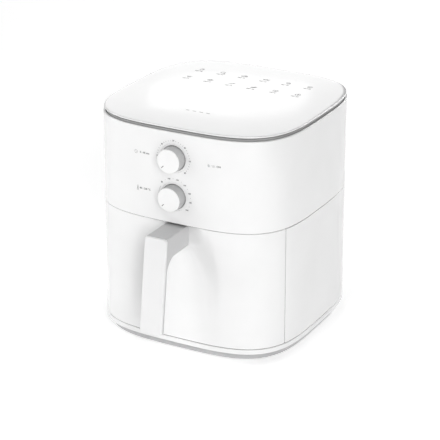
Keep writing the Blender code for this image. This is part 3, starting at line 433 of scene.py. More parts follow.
INDEX_EASE, INDEX_REACH, INDEX_SUNK = 0.00035, 0.0046, 0.00004
CAP_DRAFT, CAP_WALL = 0.00035, 0.0020


def turned(section, x, z, segments=128):
    """A section of radius and depth spun round a front-to-back axis at a place on the front."""
    bm = bmesh.new()
    verts = [bm.verts.new((x + radius, y, z)) for radius, y in section]
    edges = [bm.edges.new(pair) for pair in zip(verts, verts[1:])]
    bmesh.ops.spin(
        bm, geom=verts + edges, cent=(x, 0, z), axis=(0, 1, 0), angle=2 * math.pi,
        steps=segments, use_merge=True,
    )
    bmesh.ops.remove_doubles(bm, verts=bm.verts, dist=1e-6)
    return bm


def edges_along(edges, axis):
    """Those edges that run some way along one axis."""
    return [edge for edge in edges if abs((edge.verts[0].co - edge.verts[1].co)[axis]) > 1e-5]


def rounded(bm, edges, radius, segments):
    """Rounds some edges over."""
    bmesh.ops.bevel(
        bm, geom=edges, offset=radius, offset_type="OFFSET", affect="EDGES", segments=segments,
        profile=0.5, material=-1,
    )


for prefix in ("timer", "temp"):
    knob_low, knob_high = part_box(prefix + "_knob")
    cup_low, cup_high = cups[prefix]
    knob_z = (knob_low.z + knob_high.z) / 2
    knob_radius = (knob_high.x - knob_low.x) / 2
    cap_section = eased([
        (0, knob_low.y, 0),
        (knob_radius - CAP_DRAFT, knob_low.y, 0.0010),
        (knob_radius, knob_high.y, 0.0003),
        (knob_radius - CAP_WALL, knob_high.y, 0.0003),
        (knob_radius - CAP_WALL - 0.0002, knob_low.y + CAP_HOLLOW, 0.0008),
        (0, knob_low.y + CAP_HOLLOW, 0),
    ], 5)
    dial = prefix + "_dial"
    cap_bm = turned(cap_section, 0, knob_z)
    cap = finished(prefix + "_cap", cap_bm, dial_white, dial, "white_satin", prefix + "_knob")
    # Faces behind CAP_EDGE take the grey skirt, painted shade on the cap's side.
    cap.data.materials.append(skirt_painted_shade)
    for face in cap.data.polygons:
        if face.center.y > knob_low.y + CAP_EDGE:
            face.material_index = 1
    lip = (cup_high.x - cup_low.x) / 2
    mouth = knob_radius + CAP_GAP
    cup_section = eased([
        (lip, cup_low.y, 0.0002),
        (lip, cup_high.y, 0.0003),
        (SHAFT_HOLE, cup_high.y, 0.0003),
        (SHAFT_HOLE, cup_high.y - CUP_FLOOR, 0.0003),
        (mouth, cup_high.y - CUP_FLOOR, 0.0004),
        (mouth, cup_low.y, 0.0003),
    ])
    cup_bm = turned([*cup_section, cup_section[0]], 0, knob_z)
    finished(prefix + "_cup", cup_bm, dial_white, "body", "white_satin", prefix + "_bezel")
    index_bm = bmesh.new()
    bmesh.ops.create_cube(index_bm, size=1.0, matrix=Matrix.Diagonal((*INDEX_SIZE, 1)))
    rounded(index_bm, edges_along(index_bm.edges, 1), INDEX_EASE, 4)
    on_rim = Matrix.Translation((0, 0, knob_radius - INDEX_REACH))
    on_dial = Matrix.Translation((0, knob_low.y + INDEX_SUNK, knob_z))
    index_bm.transform(on_dial @ Matrix.Rotation(INDEX_ANGLE, 4, "Y") @ on_rim)
    finished(prefix + "_index", index_bm, ink_finish, dial, "trim_grey")

# ------ drawer front
# The drawer's face is one curved white moulding that wraps both front corners, with a bell
# of shallow hollow sunk behind the handle so that fingers reach round the grip.
front_low, front_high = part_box("drawer_front")
side_low, side_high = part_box("lower_housing")
SEAM = 0.0008
WRAP_Y = AXIS_Y - 0.0855  # how far back the drawer's face reaches round each corner
SCOOP_FOOT, SCOOP_DEPTH = 0.014, 0.0125
SCOOP_WIDE, SCOOP_SHOULDER, SHOULDER_POWER = 0.067, 0.023, 8
SCOOP_FLAT, SCOOP_ARCH, SCOOP_EASE = 0.046, 0.80, 0.75


def hollow(x, z):
    """Depth of the hollow behind the handle, deepest at the drawer's upper edge."""
    foot = front_low.z + SCOOP_FOOT
    rise = min(1.0, max(0.0, (z - foot) / (front_high.z - foot)))
    half_width = SCOOP_WIDE - SCOOP_SHOULDER * rise ** SHOULDER_POWER
    flat = SCOOP_FLAT * max(0.0, 1 - (rise / SCOOP_ARCH) ** 2) ** SCOOP_EASE
    bank = min(1.0, max(0.0, (abs(x) - flat) / (half_width - flat)))
    lift = rise ** SCOOP_EASE
    return SCOOP_DEPTH * (1 - bank * bank * (3 - 2 * bank)) * lift * lift * (3 - 2 * lift)


def skin(start, end, columns, rows, low, high, hollowed):
    """A skin that hangs along the body's plan between two directions, seam to seam."""
    bm = bmesh.new()
    bmesh.ops.create_grid(bm, x_segments=columns, y_segments=rows, size=0.5)
    for vert in bm.verts:
        z = low + (vert.co.y + 0.5) * (high - low)
        turn = start + (vert.co.x + 0.5) * (end - start)
        vert.co = (math.cos(turn), AXIS_Y + math.sin(turn), z)
        on_plan(vert, wall_half(z), wall_half(z), z)
        if hollowed:
            vert.co.y += hollow(vert.co.x, z)
    bmesh.ops.reverse_faces(bm, faces=bm.faces)
    return bm


def walled(piece, thickness, edge):
    """Gives a skin its wall and eases its rim."""
    thickened(piece, thickness)
    rim = piece.modifiers.new("rim", "BEVEL")
    rim.width = edge
    rim.segments = 3
    rim.limit_method = "ANGLE"
    rim.angle_limit = math.radians(50)
    rim.harden_normals = True


def split_turn(y):
    """Direction, from the axis, of the plan's right-hand point at this distance back."""
    side_x = HALF * (1 - abs((y - AXIS_Y) / HALF) ** SQUARENESS) ** (1 / SQUARENESS)
    return math.atan2(y - AXIS_Y, side_x)


SHELL_EDGE = 0.0006
front_turn = split_turn(WRAP_Y)
drawer_bm = skin(math.pi - front_turn, 2 * math.pi + front_turn, 190, 90, front_low.z, front_high.z, True)
drawer_face = finished("drawer_face", drawer_bm, housing_satin, "drawer", "white_satin", "drawer_front")
walled(drawer_face, WALL, SHELL_EDGE)

# ------ handle
# The grip is a flat bar that leans a little forward at its foot. A pale grey moulded core carries the neck,
# its grey partly its own tone and partly painted shade, and a satin cover with rounded corners is pressed on
# its front.
grip_low, grip_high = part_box("handle_cover")
GRIP_LEAN = math.radians(7.7)
GRIP_REACH, GRIP_DROP = 0.04516, 0.0028
GRIP_TONES = ((0.76, 0.76, 0.765), (0.79, 0.79, 0.79))
# The core's grey is partly its own tone and partly painted shade for the neck's top and sides.
CORE_TONE_AND_SHADE = ((0.53, 0.53, 0.535), (0.57, 0.57, 0.57))
GRIP_LENGTH, GRIP_COVER, GRIP_CORE = 0.1235, 0.0035, 0.0055
NECK_HEIGHT, NECK_FILLET, ROOT_GAP = 0.0280, 0.020, 0.0005
grip_width = grip_high.x - grip_low.x
top_z = front_high.z - GRIP_DROP
grip_top = Vector((AXIS_Y - wall_half(top_z) - GRIP_REACH, top_z))
down = Vector((-math.sin(GRIP_LEAN), -math.cos(GRIP_LEAN)))
inward = Vector((math.cos(GRIP_LEAN), -math.sin(GRIP_LEAN)))

GRIP_CORNER, GRIP_RIM, CORE_EDGE = 0.0042, 0.0016, 0.0025
grip_satin = white_plastic("grip_satin_white", GRIP_TONES, (0.36, 0.46), (2600.0, 1.2e-5))
cover_bm = bmesh.new()
cover_size = Matrix.Diagonal((grip_width, GRIP_COVER, GRIP_LENGTH, 1))
bmesh.ops.create_cube(cover_bm, size=1.0, matrix=cover_size)
rounded(cover_bm, edges_along(cover_bm.edges, 1), GRIP_CORNER, 8)
face_rim = [edge for edge in cover_bm.edges if all(vert.co.y < 0 for vert in edge.verts)]
rounded(cover_bm, face_rim, GRIP_RIM, 5)
centre = grip_top + down * (GRIP_LENGTH / 2) + inward * (GRIP_COVER / 2)
cover_bm.transform(Matrix.Translation((0, *centre)) @ Matrix.Rotation(-GRIP_LEAN, 4, "X"))
finished("grip_cover", cover_bm, grip_satin, "drawer", "white_satin", "handle_cover")

neck_bottom = top_z - NECK_HEIGHT
root_y = AXIS_Y - wall_half(neck_bottom) + 0.0005
behind = GRIP_COVER + 0.0003
front_top = grip_top + inward * behind
front_top += down * ((front_top.y - top_z) / math.cos(GRIP_LEAN))
front_foot = grip_top + down * (GRIP_LENGTH - 0.0006) + inward * behind
foot_back = front_foot + inward * GRIP_CORE
shoulder = grip_top + inward * (behind + GRIP_CORE)
bend = shoulder + down * ((shoulder.y - neck_bottom) / math.cos(GRIP_LEAN))
side_view = eased([
    (root_y, top_z, 0),
    (front_top.x, front_top.y, 0),
    (front_foot.x, front_foot.y, 0),
    (foot_back.x, foot_back.y, 0.0035),
    (bend.x, bend.y, NECK_FILLET),
    (root_y, neck_bottom, 0),
], 12)
core_bm = bmesh.new()
half_core = (grip_width - 0.0008) / 2
outline = [core_bm.verts.new((-half_core, y, z)) for y, z in side_view]
side_face = core_bm.faces.new(outline)
drawn = bmesh.ops.extrude_face_region(core_bm, geom=[side_face])["geom"]
bmesh.ops.translate(
    core_bm, vec=(2 * half_core, 0, 0), verts=[item for item in drawn if isinstance(item, bmesh.types.BMVert)]
)
long_edges = [
    edge for edge in core_bm.edges
    if abs(edge.verts[0].co.x - edge.verts[1].co.x) < 1e-6
    and max(vert.co.y for vert in edge.verts) < root_y + 1e-6
    and min(vert.co.y for vert in edge.verts) < root_y - 1e-4
]
rounded(core_bm, long_edges, CORE_EDGE, 6)
root_edges = [edge for edge in core_bm.edges if all(vert.co.y > root_y - 1e-5 for vert in edge.verts)]
for vert in {vert for edge in root_edges for vert in edge.verts}:
    vert.co.y = AXIS_Y - wall_half(vert.co.z) + hollow(vert.co.x, vert.co.z) - ROOT_GAP
# The core's finish: a pale grey that is partly painted shade on the neck.
core_tone_and_shade = white_plastic("core_grey_painted_shade", CORE_TONE_AND_SHADE, (0.34, 0.44), (2200.0, 1e-5))
finished("grip_core", core_bm, core_tone_and_shade, "drawer", "white_satin", "handle_core")

# ------ lower housing and band
# The bay that the drawer slides into is a second white shell, open at the front. Below it a
# thin white band closes the body and runs unbroken round all four sides.
side_turn = split_turn(WRAP_Y + SEAM)
bay_bm = skin(side_turn, math.pi - side_turn, 260, 12, side_low.z, side_high.z, False)
bay = finished("drawer_bay", bay_bm, housing_satin, "body", "white_satin", "lower_housing")
walled(bay, WALL, SHELL_EDGE)

band_low, band_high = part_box("base_band")
band_section = eased([
    (0.0000, band_low.z, 0.0010),
    (0.0000, band_high.z, 0.0006),
    (0.0030, band_high.z, 0.0004),
    (0.0030, band_low.z, 0.0004),
])
finished("base_hoop", ring_moulding(band_section, in_wall), housing_satin, "body", "white_satin", "base_band")

# ------ seam gaskets: painted seam shadow
# Dark silicone cords lie in the gaps between the shells and keep steam in; their near-black is painted
# shadow, standing in for the shade inside each gap, so that the joints read as fine dark lines.
SEAM_SHADOW_TONES = ((0.035, 0.035, 0.036), (0.06, 0.06, 0.06))
GASKET_SUNK, GASKET_DEPTH, GASKET_GAP = 0.0008, 0.0015, 0.00025
# The cords' near-black stands in for the shade inside the seam gaps: painted shadow.
seam_shadow_finish, _ = mottled("seam_painted_shadow", 300.0, SEAM_SHADOW_TONES, 500.0, (0.6, 0.8), (1500.0, 1e-5))
seams = (("middle_seam_shadow", front_high.z, housing_low.z), ("bottom_seam_shadow", band_high.z, front_low.z))
for name, low, high in seams:
    middle = (low + high) / 2
    cord_section = eased([
        (GASKET_SUNK, middle - GASKET_GAP, 0.0001),
        (GASKET_SUNK, middle + GASKET_GAP, 0.0001),
        (GASKET_SUNK + GASKET_DEPTH, middle + GASKET_GAP, 0.0001),
        (GASKET_SUNK + GASKET_DEPTH, middle - GASKET_GAP, 0.0001),
    ], 2)
    finished(name, ring_moulding(cord_section, in_wall), seam_shadow_finish, "body", "grey_rubber")
STRIP_SUNK, STRIP_DEPTH, STRIP_LAP = 0.0009, 0.0012, 0.0012
# The upright strips beside the drawer's face are painted shadow for the side seams.
for name, flip in (("right_seam_shadow", 1), ("left_seam_shadow", -1)):
    strip_bm = skin(front_turn - STRIP_LAP, side_turn + STRIP_LAP, 4, 12, front_low.z, front_high.z, False)
    for vert in strip_bm.verts:
        vert.co.x = flip * (vert.co.x - STRIP_SUNK)
    strip = finished(name, strip_bm, seam_shadow_finish, "body", "grey_rubber")
    walled(strip, STRIP_DEPTH, 0.0002)

# ------ plinth and feet
# The plinth is a mid-grey moulded tray that closes the underside. Its wall leans in towards
# the table, its floor has two stiffening rings, and a ribbed rubber foot is pressed in each corner.
plinth_low, plinth_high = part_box("base_plate")


def dull_plastic(name, dark, light, polish, grain):
    """Grey, black or rubbery moulding: a mottled tone, a patchy sheen and a fine tooled grain."""
    finish, _ = mottled(name, 60.0, (dark, light), 140.0, polish, grain, tooled=True)
    return finish


plinth_grey = dull_plastic(
    "plinth_mid_grey", (0.42, 0.42, 0.425), (0.47, 0.47, 0.475), (0.32, 0.42), (1400.0, 8e-6)
)
foot_rubber = dull_plastic(
    "foot_silicone", (0.07, 0.07, 0.07), (0.11, 0.11, 0.11), (0.55, 0.75), (1100.0, 2e-5)
)
PLINTH_WALL, PLINTH_LEAN = 0.0018, 0.0030
FLOOR_Z, PANEL_Z, GROOVE_Z = plinth_low.z, plinth_low.z + 0.0012, plinth_low.z + 0.0004
plinth_corners = [
    (0.0035, plinth_high.z, 0),
    (0.0035 + PLINTH_LEAN, FLOOR_Z, 0.0016),
    (0.0210, FLOOR_Z, 0.0004),
    (0.0220, PANEL_Z, 0.0004),
]
for ring in (0.0580, 0.0900):
    plinth_corners += [
        (ring, PANEL_Z, 0.0004),
        (ring + 0.0010, GROOVE_Z, 0.0003),
        (ring + 0.0040, GROOVE_Z, 0.0003),
        (ring + 0.0050, PANEL_Z, 0.0004),
    ]
plinth_corners.append((0.1200, PANEL_Z, 0))
plinth_bm = ring_moulding(eased(plinth_corners), in_wall, closed=False, fill=True)
plinth = finished("plinth_tray", plinth_bm, plinth_grey, "body", "grey_plastic", "base_plate")
thickened(plinth, PLINTH_WALL)

FOOT_TREAD, FOOT_DRAFT = 0.0005, 0.0006
for corner in ("front_left", "front_right", "rear_left", "rear_right"):
    low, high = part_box("foot_" + corner)
    middle = (low + high) / 2
    radius = (high.x - low.x) / 2
    pad_section = eased([
        (0, 0, 0),
        (radius * 0.30, 0, 0.0002),
        (radius * 0.34, FOOT_TREAD, 0.0002),
        (radius * 0.52, FOOT_TREAD, 0.0002),
        (radius * 0.56, 0, 0.0002),
        (radius - FOOT_DRAFT, 0, 0.0005),
        (radius, high.z, 0),
        (0, high.z, 0),
    ])
    pad = turned(pad_section, 0, 0, 48)
    pad.transform(Matrix.Translation((middle.x, middle.y, 0)) @ Matrix.Rotation(math.radians(90), 4, "X"))
    finished("foot_pad_" + corner, pad, foot_rubber, "body", "grey_rubber", "foot_" + corner)

# ------ rear vent and cord bush
# Hot air leaves through a louvred white grille that snaps into the rear window. Lower down
# a rubber bush, ribbed like a bellows, guards the hole for the mains lead.


def block(bm, low, high, edge, lean=0.0):
    """A bar with its edges eased, leant about its own length."""
    low, high = Vector(low), Vector(high)
    leant = Matrix.Translation((low + high) / 2) @ Matrix.Rotation(lean, 4, "X")
    made = bmesh.ops.create_cube(bm, size=1.0, matrix=leant @ Matrix.Diagonal((*(high - low), 1)))["verts"]
    rounded(bm, list({edge_of for vert in made for edge_of in vert.link_edges}), edge, 2)


VENT_FRAME, VENT_POST, VENT_EDGE = 0.0028, 0.0012, 0.0004
LOUVRES, LOUVRE_HALF, LOUVRE_LEAN = 6, 0.0013, math.radians(-25)
LOUVRE_INSET_X, LOUVRE_INSET_Y = 0.001, 0.0003
grille_bm = bmesh.new()
block(grille_bm, vent_low, (vent_high.x, vent_high.y, vent_low.z + VENT_FRAME), VENT_EDGE)
block(grille_bm, (vent_low.x, vent_low.y, vent_high.z - VENT_FRAME), vent_high, VENT_EDGE)
block(grille_bm, vent_low, (vent_low.x + VENT_FRAME, vent_high.y, vent_high.z), VENT_EDGE)
block(grille_bm, (vent_high.x - VENT_FRAME, vent_low.y, vent_low.z), vent_high, VENT_EDGE)
block(grille_bm, (-VENT_POST, vent_low.y, vent_low.z), (VENT_POST, vent_high.y, vent_high.z), 0.0003)
for k in range(LOUVRES):
    z = vent_low.z + (k + 0.5) * (vent_high.z - vent_low.z) / LOUVRES
    louvre_low = (vent_low.x + LOUVRE_INSET_X, vent_low.y + LOUVRE_INSET_Y, z - LOUVRE_HALF)
    louvre_high = (vent_high.x - LOUVRE_INSET_X, vent_high.y - LOUVRE_INSET_Y, z + LOUVRE_HALF)
    block(grille_bm, louvre_low, louvre_high, VENT_EDGE, LOUVRE_LEAN)
finished("vent_louvres", grille_bm, housing_satin, "body", "white_satin", "rear_vent_grille")

bush_low, bush_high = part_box("cord_gland")
bush_middle = (bush_low + bush_high) / 2
bush_radius = (bush_high.x - bush_low.x) / 2
BUSH_BORE, BUSH_TAIL, BUSH_SLEEVE = 0.0036, 0.0050, 0.011
RIBS, RIB_PITCH, RIB_WIDTH, RIB_RISE, RIB_STEP, RIB_TAPER = 4, 0.0025, 0.0008, 0.0010, 0.0012, 0.0003
flange_y = bush_high.y - BUSH_SLEEVE
bush_corners = [
    (BUSH_BORE, bush_low.y, 0), (bush_radius, bush_low.y, 0.0004), (bush_radius, flange_y, 0.0006)
]
for k in range(RIBS):
    y = flange_y + RIB_WIDTH + RIB_PITCH * k
    crest = bush_radius - RIB_STEP - RIB_TAPER * k
    bush_corners += [
        (crest - RIB_RISE, y, 0.0003), (crest, y + RIB_WIDTH, 0.0003), (crest, y + 2 * RIB_WIDTH, 0.0003)
    ]
bush_corners += [(BUSH_TAIL, bush_high.y, 0.0004), (BUSH_BORE, bush_high.y, 0.0003)]
bush_section = eased(bush_corners, 3)
bush_bm = turned([*bush_section, bush_section[0]], bush_middle.x, bush_middle.z, 48)
finished("cord_bush", bush_bm, foot_rubber, "body", "grey_rubber", "cord_gland")

# ------ indicator
# The lamp shows through a small domed lens of milky polycarbonate, flush with the shell.
LENS_CROWN, LENS_DOME = 0.6, 0.0006
LENS_TONES = ((0.84, 0.86, 0.87), (0.90, 0.91, 0.92))
lens_finish, lens_shader = mottled("lens_milky", 700.0, LENS_TONES, 900.0, (0.10, 0.18), (2000.0, 2e-6))
lens_shader.inputs["Transmission Weight"].default_value = 0.35
lens_section = eased([
    (0, lens_low.y, 0),
    (lens_radius * LENS_CROWN, lens_low.y + 0.0001, 0.0005),
    (lens_radius, lens_low.y + LENS_DOME, 0.0004),
    (lens_radius, lens_high.y, 0.0002),
    (0, lens_high.y, 0),
])
lens_bm = turned(lens_section, lens_middle.x, lens_middle.z, 40)
finished("lamp_lens", lens_bm, lens_finish, "body", "lens_clear", "indicator_lens")

# ------ pan
# The pan is pressed from steel sheet with a drafted wall, a rolled floor corner and a rim
# turned outwards, all under a charcoal non-stick coat with a fine pale fleck.
pan_low, pan_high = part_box("pan")
PAN_SQUARENESS = 5.0
PAN_WALL, PAN_RIM, PAN_DRAFT, PAN_HEEL = 0.0015, 0.003, 0.004, 0.0090
PAN_DISH, PAN_DISH_RISE = 0.0500, 0.0006
pan_half_x, pan_half_y = (pan_high.x - pan_low.x) / 2, (pan_high.y - pan_low.y) / 2
pan_middle = (pan_low.y + pan_high.y) / 2

coat, tree, shader, at = blank_finish("charcoal_nonstick")
drift = tinted(tree, spotted(tree, at, 18.0, 0, 1), (0.040, 0.040, 0.042), (0.055, 0.055, 0.058))
flecks = add_node(tree, "TexNoise", {"Vector": at, "Scale": 1400.0, "Detail": 1.0}).outputs["Fac"]
fleck = add_node(tree, "MapRange", {"Value": flecks, "From Min": 0.66, "From Max": 0.72}).outputs["Result"]
speckled = add_node(tree, "Mix", {"Factor": fleck}, data_type="RGBA")
tree.links.new(drift, speckled.inputs["A"])
speckled.inputs["B"].default_value = (0.22, 0.22, 0.23, 1)
tree.links.new(speckled.outputs["Result"], shader.inputs["Base Color"])
tree.links.new(spotted(tree, at, 90.0, 0.32, 0.46), shader.inputs["Roughness"])
pebbling = add_node(tree, "TexNoise", {"Vector": at, "Scale": 900.0, "Detail": 3.0}).outputs["Fac"]
raised(tree, shader, pebbling, 1.5e-5)


def pan_plan(vert, inset, z):
    """Slides a point onto the pan's squarer plan."""
    on_plan(vert, pan_half_x - inset, pan_half_y - inset, z, pan_middle, PAN_SQUARENESS)


under_rim = pan_high.z - PAN_WALL
pan_section = eased([
    (0, under_rim, 0),
    (PAN_RIM, under_rim, 0.0012),
    (PAN_RIM + PAN_DRAFT, pan_low.z, PAN_HEEL),
    (PAN_DISH, pan_low.z, 0.0004),
    (PAN_DISH + 0.0008, pan_low.z + PAN_DISH_RISE, 0.0004),
    (0.0900, pan_low.z + PAN_DISH_RISE, 0),
], 6)
pan_bm = ring_moulding(pan_section, pan_plan, closed=False, fill=True)
pan_piece = finished("coated_pan", pan_bm, coat, "drawer", "dark_coat", "pan")
thickened(pan_piece, PAN_WALL)

# ------ crisper tray
# A coated plate with a turned-down skirt and rows of round-ended slots stands in the pan, and
# four silicone bumpers hold it clear of the pan's wall.
tray_low, tray_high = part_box("crisper_tray")
TRAY_SHEET, TRAY_SKIRT, TRAY_BORDER, TRAY_SUNK = 0.0012, 0.0060, 0.0100, 0.0006
SLOT_ROWS, SLOT_COLUMNS, SLOT_LENGTH, SLOT_WIDTH, SLOT_DEPTH = 4, 5, 0.026, 0.006, 0.008
tray_half_x, tray_half_y = (tray_high.x - tray_low.x) / 2, (tray_high.y - tray_low.y) / 2


def tray_plan(vert, inset, z):
    """Slides a point onto the tray's plan, which follows the pan's."""
    on_plan(vert, tray_half_x - inset, tray_half_y - inset, z, pan_middle, PAN_SQUARENESS)


tray_section = eased([
    (0.0060, tray_low.z, 0),
    (0.0000, tray_low.z + TRAY_SKIRT, 0.0020),
    (0.0000, tray_high.z, 0.0018),
    (TRAY_BORDER, tray_high.z, 0.0010),
    (TRAY_BORDER + 0.0010, tray_high.z - TRAY_SUNK, 0.0010),
    (0.0800, tray_high.z - TRAY_SUNK, 0),
], 5)
tray_bm = ring_moulding(tray_section, tray_plan, closed=False, fill=True)
tray_piece = finished("slotted_tray", tray_bm, coat, "tray", "dark_coat", "crisper_tray")
thickened(tray_piece, TRAY_SHEET)
slots = bmesh.new()
column_pitch, row_pitch = 2 * tray_half_x / (SLOT_COLUMNS + 0.4), 2 * tray_half_y / (SLOT_ROWS + 0.5)
for i in range(SLOT_ROWS):
    for j in range(SLOT_COLUMNS):
        x = (j - (SLOT_COLUMNS - 1) / 2) * column_pitch
        y = pan_middle + (i - (SLOT_ROWS - 1) / 2) * row_pitch
        slot_size = Matrix.Diagonal((SLOT_WIDTH, SLOT_LENGTH, SLOT_DEPTH, 1))
        place = Matrix.Translation((x, y, tray_high.z)) @ slot_size
        made = bmesh.ops.create_cube(slots, size=1.0, matrix=place)["verts"]
        upright = edges_along({edge for vert in made for edge in vert.link_edges}, 2)
        rounded(slots, upright, SLOT_WIDTH * 0.49, 6)
cut_through(tray_piece, slots)
for side in ("front", "rear", "left", "right"):
    bumper_bm = bmesh.new()
    block(bumper_bm, *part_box("tray_bumper_" + side), 0.0006)
    finished("bumper_" + side, bumper_bm, foot_rubber, "tray", "grey_rubber", "tray_bumper_" + side)

# ------ works inside
# The chamber, reflector, guard, rails, fans, motor and controls are pressed, turned or
# moulded, and keep their solids. Each gets the finish that its material has.


def metal(name, dark, light, polish, brush, depth):
    """Bare metal: a drift of tone, fine draw lines along one way and a broken polish."""
    finish, tree, shader, at = blank_finish(name)
    lines = add_node(tree, "Mapping", {"Vector": at, "Scale": brush}).outputs["Vector"]
    grain = add_node(tree, "TexNoise", {"Vector": lines, "Scale": 60.0, "Detail": 4.0}).outputs["Fac"]
    tree.links.new(tinted(tree, spotted(tree, lines, 40.0, 0, 1), dark, light), shader.inputs["Base Color"])
    tree.links.new(spotted(tree, at, 80.0, *polish), shader.inputs["Roughness"])
    raised(tree, shader, grain, depth)
    shader.inputs["Metallic"].default_value = 1.0
    return finish


steel = metal("drawn_steel", (0.52, 0.52, 0.54), (0.64, 0.64, 0.66), (0.28, 0.42), (1, 1, 16), 1.2e-5)
sheath = metal("annealed_sheath", (0.14, 0.14, 0.15), (0.24, 0.23, 0.23), (0.40, 0.58), (3, 3, 3), 1.5e-5)
brass = metal("turned_brass", (0.62, 0.45, 0.18), (0.76, 0.58, 0.27), (0.22, 0.34), (1, 18, 1), 8e-6)
black_plastic = dull_plastic(
    "heatproof_black", (0.035, 0.035, 0.036), (0.06, 0.06, 0.06), (0.40, 0.55), (1500.0, 1e-5)
)
liner_grey = dull_plastic(
    "liner_grey", (0.40, 0.40, 0.405), (0.46, 0.46, 0.465), (0.42, 0.52), (1300.0, 1e-5)
)
amber = dull_plastic("amber_glass", (0.70, 0.33, 0.07), (0.85, 0.44, 0.12), (0.16, 0.26), (900.0, 4e-6))

# The drawer runs on two channels of folded steel, each with a stop folded up at its rear end.
SHEET_FOLD = 0.001
for side, outer in (("left", True), ("right", False)):
    low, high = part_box("slide_rail_" + side)
    rail_bm = bmesh.new()
    web = low.x if outer else high.x - SHEET_FOLD
    block(rail_bm, (web, low.y, low.z), (web + SHEET_FOLD, high.y, high.z), 0.0003)
    block(rail_bm, (low.x, high.y - SHEET_FOLD, low.z), high, 0.0003)
    for z in (low.z, high.z - SHEET_FOLD):
        block(rail_bm, (low.x, low.y, z), (high.x, high.y, z + SHEET_FOLD), 0.0003)
    finished("rail_" + side, rail_bm, steel, "body", "steel", "slide_rail_" + side)

# The liner plate behind the drawer's face is stiffened by ribs on its hidden side.
LINER_RIBS, RIB_HALF, RIB_HEIGHT, RIB_ROOT, RIB_MARGIN = 9, 0.0009, 0.0022, 0.0004, 0.004
low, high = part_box("drawer_liner")
rib_front, rib_back = low.y - RIB_HEIGHT, low.y + RIB_ROOT
liner_bm = bmesh.new()
block(liner_bm, low, high, 0.0008)
for k in range(LINER_RIBS):
    x = low.x + (k + 0.5) * (high.x - low.x) / LINER_RIBS
    rib_low = (x - RIB_HALF, rib_front, low.z + RIB_MARGIN)
    block(liner_bm, rib_low, (x + RIB_HALF, rib_back, high.z - RIB_MARGIN), 0.0003)
for z in (low.z + 0.003, high.z - 0.005):
    block(liner_bm, (low.x + 0.002, rib_front, z), (high.x - 0.002, rib_back, z + 0.002), 0.0003)
finished("liner_plate", liner_bm, liner_grey, "drawer", "grey_plastic", "drawer_liner")

# The terminal block has a barrier either side of each pair of clamps, and a screw in each clamp.
POLES, BARRIER, SCREW_RADIUS, SCREW_HEIGHT = 3, 0.001, 0.0016, 0.0014
low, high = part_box("terminal_block")
clamps = bmesh.new()
deck = low.z + 0.6 * (high.z - low.z)
block(clamps, low, (high.x, high.y, deck), 0.0005)
pitch = (high.x - low.x - BARRIER) / POLES
for k in range(POLES + 1):
    x = low.x + pitch * k
    block(clamps, (x, low.y, deck - 0.0005), (x + BARRIER, high.y, high.z), 0.0002)
for k in range(POLES):
    for y in (low.y + 0.25 * (high.y - low.y), low.y + 0.75 * (high.y - low.y)):
        seat = Matrix.Translation((low.x + BARRIER / 2 + pitch * (k + 0.5), y, deck + 0.0004))
        bmesh.ops.create_cone(
            clamps, cap_ends=True, segments=20, radius1=SCREW_RADIUS, radius2=SCREW_RADIUS - 0.0002,
            depth=SCREW_HEIGHT, matrix=seat,
        )
finished("clamp_block", clamps, black_plastic, "body", "dark_plastic", "terminal_block")

inside_finishes = {
    "steel": steel,
    "heater_sheath": sheath,
    "brass": brass,
    "dark_plastic": black_plastic,
    "grey_plastic": liner_grey,
    "lamp_amber": amber,
}
INSIDE = (
    "chamber_top control_bracket cooking_chamber cooling_fan exhaust_duct fan_nut handle_screw_left "
    "handle_screw_right heat_reflector heater_coil heater_guard hot_air_fan indicator_lamp lower_bearing "
    "motor_can motor_deck motor_shaft switch_case switch_plunger temp_shaft thermal_fuse thermostat_case "
    "thermostat_probe timer_bell timer_case timer_shaft upper_bearing"
)
for name in INSIDE.split():
    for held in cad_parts[name].material_slots:
        held.material = inside_finishes[held.material.name]

# ------ printed scales
# Scales, symbols and captions are pad-printed in thin grey ink: minutes round the upper
# dial, degrees round the lower one, and a chart of foods with times on the lid.
INK_LIFT, INK_THICK = 0.00005, 0.00004


def ink_mesh(curve):
    """A curve or a line of type made into a mesh, laid out flat."""
    carrier = bpy.data.objects.new("artwork", curve)
    mesh = bpy.data.meshes.new_from_object(carrier)
    bpy.data.objects.remove(carrier)
    return mesh


def strokes(runs, width):
    """Flat pen lines through runs of points, each run open or looped."""
    curve = bpy.data.curves.new("pen", "CURVE")
    curve.dimensions = "3D"
    curve.bevel_depth = width / 2
    curve.bevel_resolution = 1
    curve.use_fill_caps = True
    for points, looped in runs:
        spline = curve.splines.new("POLY")
        spline.points.add(len(points) - 1)
        for point, (u, v) in zip(spline.points, points):
            point.co = (u, v, 0, 1)
        spline.use_cyclic_u = looped
    mesh = ink_mesh(curve)
    mesh.transform(Matrix.Diagonal((1, 1, INK_THICK / width, 1)))
    return mesh


def lettering(words, height, u, v):
    """A line of plain type centred on a point."""
    text = bpy.data.curves.new("type", "FONT")
    text.body = words
    text.size = height * 1.38
    text.resolution_u = 2
    text.align_x = "CENTER"
    text.align_y = "CENTER"
    text.extrude = INK_THICK / 2
    text.offset = height * 0.035
    mesh = ink_mesh(text)
    mesh.transform(Matrix.Translation((u, v, 0)))
    return mesh


def on_front(u, v, lift):
    """A point of the artwork laid on the front wall."""
    half = wall_half(v)
    return (u, AXIS_Y - half * (1 - abs(u / half) ** SQUARENESS) ** (1 / SQUARENESS) - lift, v)


def on_lid(u, v, lift):
    """A point of the artwork laid on the lid."""
    return (u, v, lid_height(u, v) + lift)


def printed(name, artwork, face):
    """Presses flat artwork onto a face of the fryer."""
    bm = bmesh.new()
    for mesh in artwork:
        bm.from_mesh(mesh)
        bpy.data.meshes.remove(mesh)
    for vert in bm.verts:
        vert.co = face(vert.co.x, vert.co.y, INK_LIFT + vert.co.z)
    return finished(name, bm, ink_finish, "body", "trim_grey", crease=50)


